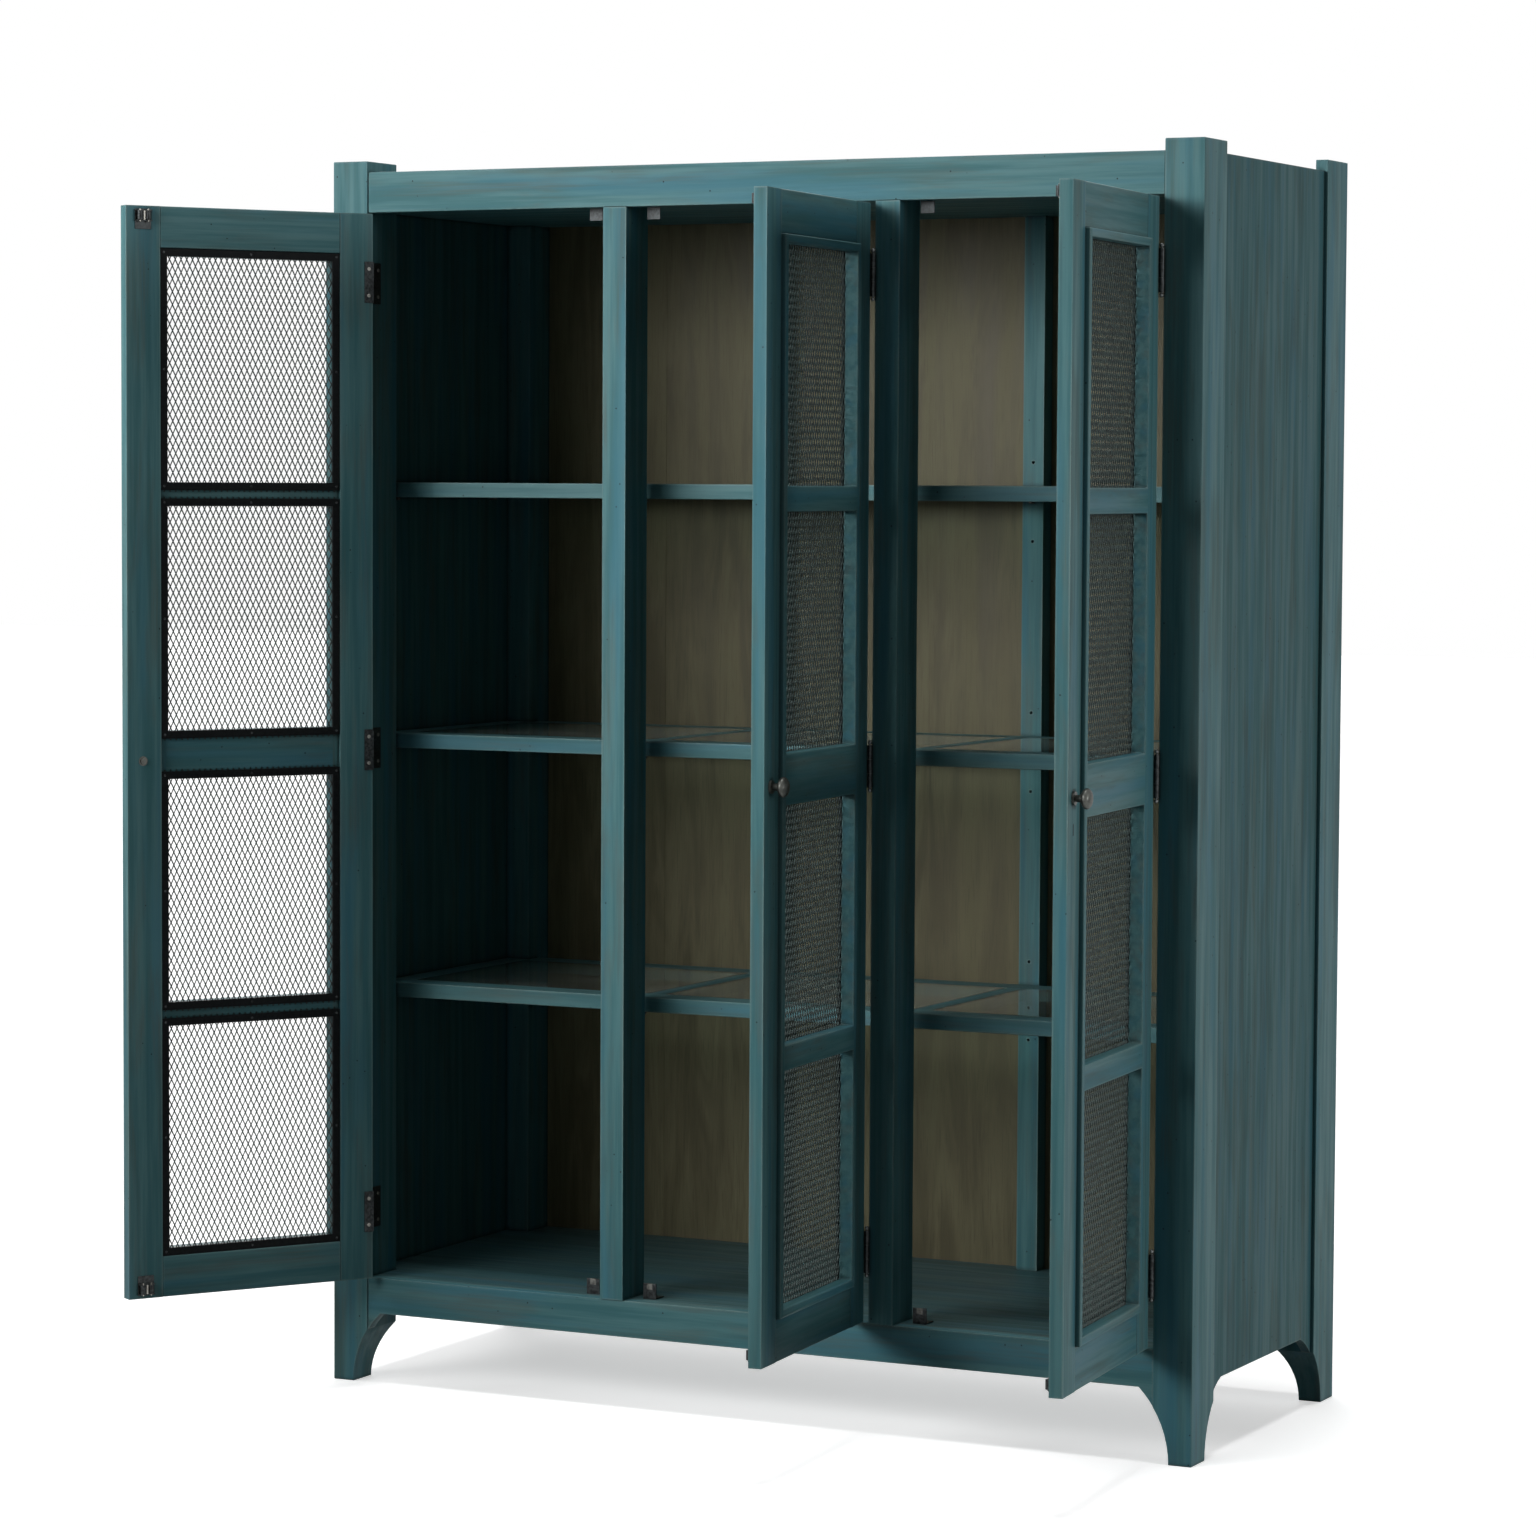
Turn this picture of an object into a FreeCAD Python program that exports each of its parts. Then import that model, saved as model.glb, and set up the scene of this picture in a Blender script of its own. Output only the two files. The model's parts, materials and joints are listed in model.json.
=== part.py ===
"""Three-door pie safe with expanded-metal door panes, as a parametric document.

Frame: millimetres, X to the right along the front, Y to the back, Z up.  The origin is on the
floor under the middle of the carcass.  Each door is modelled shut and then turned about its hinge
pins to the angle at which it stands open at rest.
"""
import FreeCAD, Part
import os
import re

doc = FreeCAD.newDocument("pie_safe")
sheet = doc.addObject("Spreadsheet::Sheet", "Sizes")

# Driving sizes in millimetres, angles in degrees and plain counts
SIZES = {
    # carcass
    "width": 1440, "depth": 600, "height": 1900,
    "post_width": 61, "post_depth": 88, "post_rise": 17,
    "sole_width": 36, "sole_depth": 54, "front_sweep": 40.5, "side_sweep": 6.5, "ear_tip": 1,
    "rail_recess": 2, "rail_thickness": 20, "top_rail_height": 62, "bottom_rail_height": 56,
    "apron_clearance": 109.5,
    "mullion_width": 39, "mullion_depth": 70,
    "panel_thickness": 14, "panel_recess": 6,
    "back_thickness": 8, "back_rail_thickness": 14, "back_board_count": 6, "back_drop": 20,
    "floor_thickness": 18, "ceiling_rise": 6, "ceiling_thickness": 12,
    "top_thickness": 15, "top_drop": 3,
    "divider_width": 35, "divider_depth": 32,
    # shelves
    "shelf_thickness": 23, "shelf_front_gap": 95, "shelf_end_gap": 2, "shelf_corner_gap": 3,
    "shelf_low": 620, "shelf_pitch": 393,
    "shelf_front_rail": 58, "shelf_bar": 45, "shelf_end_bar": 50, "shelf_rear_rail": 50,
    "glass_thickness": 5, "glass_ledge": 8, "glass_gap": 0.5,
    "pin_radius": 2.45, "pin_hole_radius": 2.5, "pin_hole_depth": 8, "pin_reach": 12,
    "pin_step": 62,
    # doors
    "door_thickness": 20, "hinge_gap": 3, "latch_gap": 2.5, "head_gap": 3,
    "stile_width": 55, "door_rail_height": 62,
    "sash_margin": 12, "sash_proud": 7, "sash_back": 14, "lock_height": 73, "muntin_height": 36,
    "mesh_thickness": 1.2, "mesh_overlap": 8, "mesh_strand": 3, "mesh_columns": 10, "mesh_rows": 6,
    "keeper_width": 11.5, "keeper_thickness": 3.8, "nail_radius": 1.8, "nail_height": 0.8,
    # knobs
    "knob_inset": 25, "knob_drop": 8, "rosette_radius": 9.5, "rosette_height": 3,
    "neck_radius": 4.5, "neck_flare": 6.5, "neck_length": 12, "knob_radius": 14.5,
    "knob_half_depth": 8, "screw_radius": 2, "screw_hole_radius": 2.1, "screw_head_radius": 4.5,
    "screw_head_height": 2, "washer_radius": 7, "washer_height": 1,
    # hinges
    "hinge_inset": 105, "leaf_height": 63, "leaf_thickness": 1.3, "leaf_reach": 38,
    "leaf_step": 0.2, "flange_width": 14, "knuckle_radius": 4, "knuckle_gap": 0.3,
    "pivot_radius": 1.8, "pivot_hole_radius": 1.85, "finial_radius": 3.4, "finial_sink": 0.8,
    "hinge_screw_radius": 2.8, "hinge_screw_height": 0.8, "hinge_screw_inset": 11,
    "leaf_screw_setback": 8,
    # catches
    "catch_width": 26, "catch_height": 30, "catch_plate": 2, "catch_inset": 14, "catch_margin": 5,
    "arm_width": 9, "arm_height": 18, "roller_radius": 4, "roller_proud": 7, "roller_length": 9,
    "strike_gap": 1.5, "strike_width": 22, "strike_length": 26, "strike_plate": 2,
    "strike_height": 24, "strike_screw_radius": 3, "strike_screw_height": 1,
    # how far each door stands open at rest
    "left_rest": 123, "middle_rest": 94.7, "right_rest": 95.4,
    # overrun of every cutting tool
    "overrun": 2,
}

# Worked-out sizes, in terms of the driving sizes and of each other
FORMULAS = {
    "front": "-depth/2", "rear": "depth/2", "half": "width/2",
    "rail_head": "height - post_rise", "opening_top": "rail_head - top_rail_height",
    "opening_base": "apron_clearance + bottom_rail_height",
    "post_inner": "half - post_width", "panel_outer": "half - panel_recess",
    "panel_inner": "panel_outer - panel_thickness",
    "post_back": "front + post_depth", "rear_post_front": "rear - post_depth",
    "bay": "(2*post_inner - 2*mullion_width)/3", "mullion_x": "(bay + mullion_width)/2",
    "rail_front": "front + rail_recess", "rail_back": "rail_front + rail_thickness",
    # the feet and the ears beside them follow one arc, upright where it meets the sole
    "front_arc": "apron_clearance + front_sweep", "side_arc": "apron_clearance + side_sweep",
    "front_ear": "front_arc - sqrt(front_arc^2 - apron_clearance^2) - post_width + sole_width - ear_tip",
    "side_ear": "side_arc - sqrt(side_arc^2 - apron_clearance^2) - post_depth + sole_depth - ear_tip",
    "front_arc_x": "half - sole_width - front_arc", "side_arc_y": "depth/2 - sole_depth - side_arc",
    "back_front": "rear - back_rail_thickness - back_thickness",
    "back_rear": "rear - back_rail_thickness",
    "ceiling_under": "opening_top + ceiling_rise",
    "top_upper": "rail_head - top_drop", "top_under": "top_upper - top_thickness",
    "divider_front": "back_front - divider_depth", "mullion_back": "front + mullion_depth",
    "shelf_front": "front + shelf_front_gap", "shelf_side": "panel_inner - shelf_end_gap",
    "shelf_mid_rear": "rear_post_front - shelf_corner_gap",
    "shelf_neck": "post_inner - shelf_corner_gap", "shelf_rear": "divider_front - shelf_corner_gap",
    "pane_front": "shelf_front + shelf_front_rail", "pane_rear": "shelf_mid_rear - shelf_rear_rail/2",
    "pane_end": "shelf_side - shelf_end_bar", "pane_mid": "mullion_x - shelf_bar/2",
    "pane_outer": "mullion_x + shelf_bar/2",
    "door_width": "bay - hinge_gap - latch_gap", "door_base": "opening_base + head_gap",
    "door_height": "opening_top - opening_base - 2*head_gap", "door_back": "front + door_thickness",
    "field_base": "door_base + door_rail_height", "field_height": "door_height - 2*door_rail_height",
    "field_width": "door_width - 2*stile_width",
    "pane_width": "field_width - 2*sash_margin",
    "pane_height": "(field_height - 2*sash_margin - lock_height - 2*muntin_height)/4",
    "mesh_front": "front + sash_back", "keeper_front": "mesh_front + mesh_thickness",
    "lock_middle": "door_base + door_height/2", "knob_z": "lock_middle - knob_drop",
    "pivot_y": "front - knuckle_radius", "knuckle_length": "leaf_height/3",
    "roller_y": "door_back + roller_proud",
    "strike_front": "roller_y + roller_radius + strike_gap",
}


def expression(text):
    """Spell a formula out in the sheet's aliases."""
    def spell(match):
        word = match.group(0)
        if word in FORMULAS:
            return "(" + expression(FORMULAS[word]) + ")"
        if word in SIZES:
            return "Sizes." + word
        return word
    return re.sub(r"[A-Za-z_]+", spell, text)


def fill_sheet():
    for row, (alias, value) in enumerate(SIZES.items(), start=1):
        sheet.set("A%d" % row, alias)
        sheet.set("B%d" % row, str(value))
        sheet.setAlias("B%d" % row, alias)
    doc.recompute()


def bind(obj, **formulas):
    """Bind properties to formulas; x, y and z are the corners of the Placement."""
    for prop, text in formulas.items():
        path = ".Placement.Base." + prop if prop in ("x", "y", "z") else prop
        obj.setExpression(path, expression(text))
    return obj


def box(name, x, y, z, length, width, height):
    obj = doc.addObject("Part::Box", name)
    return bind(obj, x=x, y=y, z=z, Length=length, Width=width, Height=height)


def rod(name, axis, x, y, z, radius, length):
    """A cylinder that starts at a point and runs along +X, +Y or +Z."""
    obj = doc.addObject("Part::Cylinder", name)
    turns = {"x": FreeCAD.Rotation(FreeCAD.Vector(0, 1, 0), 90),
             "y": FreeCAD.Rotation(FreeCAD.Vector(1, 0, 0), -90),
             "z": FreeCAD.Rotation()}
    obj.Placement = FreeCAD.Placement(FreeCAD.Vector(), turns[axis])
    return bind(obj, x=x, y=y, z=z, Radius=radius, Height=length)


def fuse(name, pieces):
    obj = doc.addObject("Part::MultiFuse", name)
    obj.Shapes = pieces
    obj.Refine = True
    return obj


def cut(name, base, tools):
    obj = doc.addObject("Part::Cut", name)
    obj.Base = base
    obj.Tool = tools[0] if len(tools) == 1 else fuse(name + "_tools", tools)
    return obj


NODES = []


def node(label, pieces):
    """One named sub-part: a single solid, or a group of like solids."""
    if len(pieces) == 1:
        obj = pieces[0]
    else:
        obj = doc.addObject("Part::Compound", label + "_group")
        obj.Links = pieces
    obj.Label = label
    NODES.append(obj)
    return obj


# Carcass

def front_arc_tool(name, side, y, thickness):
    """The round cutter that shapes a foot and its ear as seen from the front."""
    x = "-(front_arc_x)" if side < 0 else "front_arc_x"
    return rod(name, "y", x, y + " - overrun", "0", "front_arc", thickness + " + 2*overrun")


def side_arc_tool(name, end, x, thickness):
    """The round cutter that shapes a foot and its ear as seen from the side."""
    y = "-(side_arc_y)" if end < 0 else "side_arc_y"
    return rod(name, "x", x + " - overrun", y, "0", "side_arc", thickness + " + 2*overrun")


def post(label, side, end):
    """A corner post; side is -1 or 1 for left or right, end is -1 or 1 for front or rear."""
    x = "-half" if side < 0 else "post_inner"
    y = "front" if end < 0 else "rear_post_front"
    head = "height" if end < 0 else "top_under"
    blank = box(label + "_shaft", x, y, "0", "post_width", "post_depth", head)
    if end > 0:
        horn_x = "-half" if side < 0 else "panel_inner"
        horn = box(label + "_horn", horn_x, y, "top_under", "half - panel_inner", "post_depth",
                   "height - top_under")
        blank = fuse(label + "_blank", [blank, horn])
    foot_cuts = [front_arc_tool(label + "_front_arc", side, y, "post_depth"),
                 side_arc_tool(label + "_side_arc", end, x, "post_width")]
    node(label, [cut(label + "_solid", blank, foot_cuts)])


def front_rails():
    node("top_rail", [box("top_rail_solid", "-post_inner", "rail_front", "opening_top", "2*post_inner",
                          "rail_thickness", "top_rail_height")])
    pieces = [box("bottom_rail_bar", "-post_inner", "rail_front", "apron_clearance", "2*post_inner",
                  "rail_thickness", "bottom_rail_height")]
    for side, x in ((-1, "-post_inner"), (1, "post_inner - front_ear")):
        name = "bottom_rail_ear_%d" % len(pieces)
        block = box(name + "_block", x, "rail_front", "0", "front_ear", "rail_thickness", "apron_clearance")
        pieces.append(cut(name, block, [front_arc_tool(name + "_arc", side, "rail_front", "rail_thickness")]))
    node("bottom_rail", [fuse("bottom_rail_solid", pieces)])


SHELF_TOPS = {"bottom": "shelf_low", "middle": "(shelf_low + shelf_pitch)",
              "top": "(shelf_low + 2*shelf_pitch)"}


def mullion(label, x):
    """A front upright between two bays, stepped to pass behind the top rail, with pin holes."""
    left = x + " - mullion_width/2"
    bar = box(label + "_bar", left, "front", "opening_base", "mullion_width", "mullion_depth",
              "opening_top - opening_base")
    step = box(label + "_step", left, "rail_back", "opening_top", "mullion_width",
               "mullion_back - rail_back", "ceiling_rise")
    holes = [rod(label + "_hole_" + key, "y", x, "mullion_back - pin_hole_depth",
                 top + " - shelf_thickness - pin_radius", "pin_hole_radius",
                 "pin_hole_depth + overrun") for key, top in SHELF_TOPS.items()]
    node(label, [cut(label + "_solid", fuse(label + "_upright", [bar, step]), holes)])


PIN_ROWS = {"near": "post_back + shelf_front_rail", "far": "rear_post_front - shelf_front_rail"}


def side_panel(label, side):
    x = "-panel_outer" if side < 0 else "panel_inner"
    board = box(label + "_board", x, "post_back", "apron_clearance", "panel_thickness",
                "rear_post_front - post_back", "rail_head - apron_clearance")
    ears = []
    for end, y in ((-1, "post_back"), (1, "rear_post_front - side_ear")):
        name = "%s_ear_%d" % (label, len(ears))
        block = box(name + "_block", x, y, "0", "panel_thickness", "side_ear", "apron_clearance")
        ears.append(cut(name, block, [side_arc_tool(name + "_arc", end, x, "panel_thickness")]))
    mouth = "-panel_inner - pin_hole_depth" if side < 0 else "panel_inner - overrun"
    holes = [rod("%s_hole_%s_%s" % (label, key, row), "x", mouth, y,
                 top + " - shelf_thickness - pin_radius", "pin_hole_radius",
                 "pin_hole_depth + overrun")
             for key, top in SHELF_TOPS.items() for row, y in PIN_ROWS.items()]
    node(label, [cut(label + "_solid", fuse(label + "_shape", [board] + ears), holes)])


def deck(label, z, thickness, rear):
    """A horizontal board let in round the four posts."""
    middle = box(label + "_middle", "-panel_inner", "post_back", z, "2*panel_inner",
                 "rear_post_front - post_back", thickness)
    strip = box(label + "_strip", "-post_inner", "rail_back", z, "2*post_inner",
                rear + " - rail_back", thickness)
    node(label, [fuse(label + "_solid", [middle, strip])])


def top_board():
    """The lid of the carcass: it covers the rear posts up to their outer horns."""
    label = "top_board"
    middle = box(label + "_middle", "-panel_inner", "post_back", "top_under", "2*panel_inner",
                 "back_rear - post_back", "top_thickness")
    strip = box(label + "_strip", "-post_inner", "rail_back", "top_under", "2*post_inner",
                "back_rear - rail_back", "top_thickness")
    node(label, [fuse(label + "_solid", [middle, strip])])


def back():
    boards = []
    for index in range(SIZES["back_board_count"]):
        left = "-post_inner + %d*2*post_inner/back_board_count" % index
        boards.append(box("back_board_%d" % index, left, "back_front", "apron_clearance + back_drop",
                          "2*post_inner/back_board_count", "back_thickness",
                          "top_under - apron_clearance - back_drop"))
    node("back_boards", boards)
    rails = [box("back_rail_low", "-post_inner", "back_rear", "apron_clearance", "2*post_inner",
                 "back_rail_thickness", "bottom_rail_height"),
             box("back_rail_high", "-post_inner", "back_rear", "opening_top", "2*post_inner",
                 "back_rail_thickness", "top_rail_height")]
    node("back_rails", rails)


def rear_divider(label, x):
    """An upright on the back with three shelf-pin holes round each shelf."""
    bar = box(label + "_bar", x + " - divider_width/2", "divider_front", "opening_base",
              "divider_width", "divider_depth", "ceiling_under - opening_base")
    holes = []
    for key, top in SHELF_TOPS.items():
        for step in (-1, 0, 1):
            z = "%s - shelf_thickness - pin_radius + %d*pin_step" % (top, step)
            holes.append(rod("%s_hole_%s_%d" % (label, key, step + 1), "y", x,
                             "divider_front - overrun", z, "pin_hole_radius",
                             "pin_hole_depth + overrun"))
    node(label, [cut(label + "_solid", bar, holes)])


def shelf(key, top):
    """A jointed shelf frame with three glass panes let in flush with its top."""
    base = top + " - shelf_thickness"
    name = "shelf_" + key
    slab = fuse(name + "_slab",
                [box(name + "_wide", "-shelf_side", "shelf_front", base, "2*shelf_side",
                     "shelf_mid_rear - shelf_front", "shelf_thickness"),
                 box(name + "_tail", "-shelf_neck", "shelf_front", base, "2*shelf_neck",
                     "shelf_rear - shelf_front", "shelf_thickness")])
    windows = {"left": ("-pane_end", "pane_end - pane_outer"), "middle": ("-pane_mid", "2*pane_mid"),
               "right": ("pane_outer", "pane_end - pane_outer")}
    tools, panes = [], []
    for place, (x, length) in windows.items():
        tools.append(box("%s_%s_well" % (name, place), x, "pane_front", base + " - overrun", length,
                         "pane_rear - pane_front", "shelf_thickness + 2*overrun"))
        tools.append(box("%s_%s_rebate" % (name, place), x + " - glass_ledge", "pane_front - glass_ledge",
                         top + " - glass_thickness", length + " + 2*glass_ledge",
                         "pane_rear - pane_front + 2*glass_ledge", "glass_thickness + overrun"))
        panes.append(box("%s_%s_glass" % (name, place), x + " - glass_ledge + glass_gap",
                         "pane_front - glass_ledge + glass_gap", top + " - glass_thickness",
                         length + " + 2*glass_ledge - 2*glass_gap",
                         "pane_rear - pane_front + 2*glass_ledge - 2*glass_gap", "glass_thickness"))
    node("shelf_frame_" + key, [cut(name + "_frame", slab, tools)])
    node("shelf_glass_" + key, panes)


def shelf_pins():
    pins = []
    for key, top in SHELF_TOPS.items():
        z = top + " - shelf_thickness - pin_radius"
        length = "pin_hole_depth + pin_reach"
        for row, y in PIN_ROWS.items():
            pins.append(rod("pin_%s_%s_left" % (key, row), "x", "-panel_inner - pin_hole_depth", y, z,
                            "pin_radius", length))
            pins.append(rod("pin_%s_%s_right" % (key, row), "x", "panel_inner - pin_reach", y, z,
                            "pin_radius", length))
        for side, x in (("left", "-mullion_x"), ("right", "mullion_x")):
            pins.append(rod("pin_%s_back_%s" % (key, side), "y", x, "divider_front - pin_reach", z,
                            "pin_radius", length))
            pins.append(rod("pin_%s_front_%s" % (key, side), "y", x, "mullion_back - pin_hole_depth",
                            z, "pin_radius", "pin_hole_depth + shelf_front + pin_reach - mullion_back"))
    node("shelf_pins", pins)


# Doors: u runs from the hinge edge to the latch edge of the shut door

class Door:
    """The place of one door: its hinged jamb, the way it faces and how far it is open at rest."""

    def __init__(self, name, jamb, sign, rest):
        self.name, self.jamb, self.sign, self.rest = name, jamb, sign, rest

    def x(self, u):
        return "(%s) + (%d)*(%s)" % (self.jamb, self.sign, u)

    def box(self, name, start, length, y, z, width, height):
        """A box from u = start, measured from the jamb."""
        left = self.x(start) if self.sign > 0 else self.x("%s + %s" % (start, length))
        return box("%s_%s" % (self.name, name), left, y, z, length, width, height)

    def rod_x(self, name, start, length, y, z, radius):
        left = self.x(start) if self.sign > 0 else self.x("%s + %s" % (start, length))
        return rod("%s_%s" % (self.name, name), "x", left, y, z, radius, length)

    def node(self, part, pieces):
        """A node of the door, turned about the hinge pins to its open angle."""
        label = "%s_door_%s" % (self.name, part)
        group = doc.addObject("Part::Compound", label + "_turned")
        group.Links = pieces
        group.Label = label
        group.Placement = FreeCAD.Placement(FreeCAD.Vector(), FreeCAD.Rotation(FreeCAD.Vector(0, 0, 1), 1))
        turn = "(%d*%s)" % (-self.sign, self.rest)
        pivot_x, pivot_y = self.x("hinge_gap/2"), "pivot_y"
        group.setExpression(".Placement.Rotation.Angle", expression("%s * 1deg" % turn))
        bind(group,
             x="%s - ((%s)*cos(%s*1deg) - %s*sin(%s*1deg))" % (pivot_x, pivot_x, turn, pivot_y, turn),
             y="%s - ((%s)*sin(%s*1deg) + %s*cos(%s*1deg))" % (pivot_y, pivot_x, turn, pivot_y, turn))
        NODES.append(group)


def pane_base(index):
    """Formula for the lower edge of a pane, counted upwards."""
    gaps = ("sash_margin", "sash_margin + muntin_height", "sash_margin + muntin_height + lock_height",
            "sash_margin + 2*muntin_height + lock_height")
    return "field_base + %s + %d*pane_height" % (gaps[index], index)


PANES = range(4)
PANE_U = "hinge_gap + stile_width + sash_margin"


def door_frame(door):
    far = "hinge_gap + door_width - stile_width"
    hinge_stile = door.box("hinge_stile", "hinge_gap", "stile_width", "front", "door_base",
                           "door_thickness", "door_height")
    latch_bar = door.box("latch_bar", far, "stile_width", "front", "door_base", "door_thickness",
                         "door_height")
    bore = rod(door.name + "_knob_bore", "y", door.x("hinge_gap + door_width - knob_inset"),
               "front - overrun", "knob_z", "screw_hole_radius", "door_thickness + 2*overrun")
    latch_stile = cut(door.name + "_latch_stile", latch_bar, [bore])
    door.node("stiles", [hinge_stile, latch_stile])
    rails = [door.box(part, "hinge_gap + stile_width", "field_width", "front", z, "door_thickness",
                      "door_rail_height")
             for part, z in (("low_rail", "door_base"), ("high_rail", "field_base + field_height"))]
    door.node("rails", rails)
    blank = door.box("sash_blank", "hinge_gap + stile_width", "field_width", "front - sash_proud",
                     "field_base", "sash_proud + sash_back", "field_height")
    lights = [door.box("light_%d" % index, PANE_U, "pane_width", "front - sash_proud - overrun",
                       pane_base(index), "sash_proud + sash_back + 2*overrun", "pane_height")
              for index in PANES]
    door.node("sash", [cut(door.name + "_sash", blank, lights)])


def net(name, blank):
    """A plate pierced by staggered diamonds, as one holed face given its thickness."""
    room = blank.Shape.BoundBox
    strand, overlap = sheet.get("mesh_strand"), sheet.get("mesh_overlap")
    columns, rows = int(sheet.get("mesh_columns")), int(sheet.get("mesh_rows"))
    cell_x = (room.XLength - 2 * overlap) / columns
    cell_z = (room.ZLength - 2 * overlap) / rows
    half_x = cell_x / 2 - strand
    half_z = half_x * cell_z / cell_x

    def ring(points):
        corners = [FreeCAD.Vector(x, room.YMin, z) for x, z in points]
        return Part.makePolygon(corners + corners[:1])

    outline = ring([(room.XMin, room.ZMin), (room.XMax, room.ZMin), (room.XMax, room.ZMax),
                    (room.XMin, room.ZMax)])
    gaps = []
    for stagger in (0, 1):
        for column in range(columns - stagger):
            for row in range(rows - stagger):
                x = room.XMin + overlap + (column + 0.5 + 0.5 * stagger) * cell_x
                z = room.ZMin + overlap + (row + 0.5 + 0.5 * stagger) * cell_z
                gaps.append(ring([(x - half_x, z), (x, z - half_z), (x + half_x, z), (x, z + half_z)]))
    face = Part.Face([outline] + gaps, "Part::FaceMakerBullseye")
    obj = doc.addObject("Part::Feature", name)
    obj.Shape = face.extrude(FreeCAD.Vector(0, room.YLength, 0))
    return obj


def door_panes(door):
    blanks = [door.box("net_blank_%d" % index, PANE_U + " - mesh_overlap", "pane_width + 2*mesh_overlap",
                       "mesh_front", pane_base(index) + " - mesh_overlap", "mesh_thickness",
                       "pane_height + 2*mesh_overlap") for index in PANES]
    doc.recompute()
    door.node("mesh", [net("%s_net_%d" % (door.name, index), blank) for index, blank in enumerate(blanks)])
    keepers, nails = [], []
    for index in PANES:
        low = pane_base(index)
        ring = door.box("keeper_ring_%d" % index, PANE_U + " - keeper_width", "pane_width + 2*keeper_width",
                        "keeper_front", low + " - keeper_width", "keeper_thickness",
                        "pane_height + 2*keeper_width")
        well = door.box("keeper_well_%d" % index, PANE_U, "pane_width", "keeper_front - overrun", low,
                        "keeper_thickness + 2*overrun", "pane_height")
        keepers.append(cut("%s_keeper_%d" % (door.name, index), ring, [well]))
        for across in (0, 1, 2):
            for up in (0, 1, 2):
                if across == 1 and up == 1:
                    continue
                u = PANE_U + " - keeper_width/2 + %d*(pane_width + keeper_width)/2" % across
                z = low + " - keeper_width/2 + %d*(pane_height + keeper_width)/2" % up
                nails.append(rod("%s_nail_%d_%d_%d" % (door.name, index, across, up), "y", door.x(u),
                                 "keeper_front + keeper_thickness", z, "nail_radius", "nail_height"))
    door.node("keepers", keepers)
    door.node("nails", nails)


def door_knob(door):
    x = door.x("hinge_gap + door_width - knob_inset")
    face = "front - rosette_height - neck_length"
    rosette = rod(door.name + "_rosette", "y", x, "front - rosette_height", "knob_z", "rosette_radius",
                  "rosette_height")
    neck = doc.addObject("Part::Cone", door.name + "_neck")
    neck.Placement = FreeCAD.Placement(FreeCAD.Vector(), FreeCAD.Rotation(FreeCAD.Vector(1, 0, 0), -90))
    bind(neck, x=x, y=face, z="knob_z", Radius1="neck_flare", Radius2="neck_radius", Height="neck_length")
    head = doc.addObject("Part::Ellipsoid", door.name + "_head")
    head.Placement = FreeCAD.Placement(FreeCAD.Vector(), FreeCAD.Rotation(FreeCAD.Vector(1, 0, 0), 90))
    bind(head, x=x, y=face + " - knob_half_depth/2", z="knob_z", Radius1="knob_half_depth",
         Radius2="knob_radius", Radius3="knob_radius")
    turned = fuse(door.name + "_knob_turned", [rosette, neck, head])
    washer = cut(door.name + "_washer",
                 rod(door.name + "_washer_disc", "y", x, "door_back", "knob_z", "washer_radius",
                     "washer_height"),
                 [rod(door.name + "_washer_hole", "y", x, "door_back - overrun", "knob_z",
                      "screw_hole_radius", "washer_height + 2*overrun")])
    screw = fuse(door.name + "_knob_screw",
                 [rod(door.name + "_screw_shank", "y", x, "front", "knob_z", "screw_radius",
                      "door_thickness + washer_height"),
                  rod(door.name + "_screw_head", "y", x, "door_back + washer_height", "knob_z",
                      "screw_head_radius", "screw_head_height")])
    door.node("knob", [turned, washer, screw])


HINGE_PLACES = {"low": "door_base + hinge_inset - leaf_height/2",
                "mid": "door_base + door_height/2 - leaf_height/2",
                "high": "door_base + door_height - hinge_inset - leaf_height/2"}
FIXED_KNUCKLES = ("0", "2*knuckle_length")
DOOR_KNUCKLES = ("knuckle_length",)


def leaf(door, name, plate, neck_u, base, knuckles):
    """A hinge leaf: its plate, and knuckles joined to it by short necks, bored for the pin."""
    pieces, pivot_x = list(plate), door.x("hinge_gap/2")
    bores = []
    for count, offset in enumerate(knuckles):
        z = "%s + %s + knuckle_gap/2" % (base, offset)
        length = "knuckle_length - knuckle_gap"
        pieces.append(rod("%s_%s_knuckle_%d" % (door.name, name, count), "z", pivot_x, "pivot_y", z,
                          "knuckle_radius", length))
        pieces.append(door.box("%s_neck_%d" % (name, count), neck_u, "leaf_thickness", "pivot_y", z,
                               "knuckle_radius + leaf_step", length))
        bores.append(rod("%s_%s_bore_%d" % (door.name, name, count), "z", pivot_x, "pivot_y",
                         z + " - overrun", "pivot_hole_radius", length + " + 2*overrun"))
    return cut("%s_%s" % (door.name, name), fuse("%s_%s_body" % (door.name, name), pieces), bores)


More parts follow.
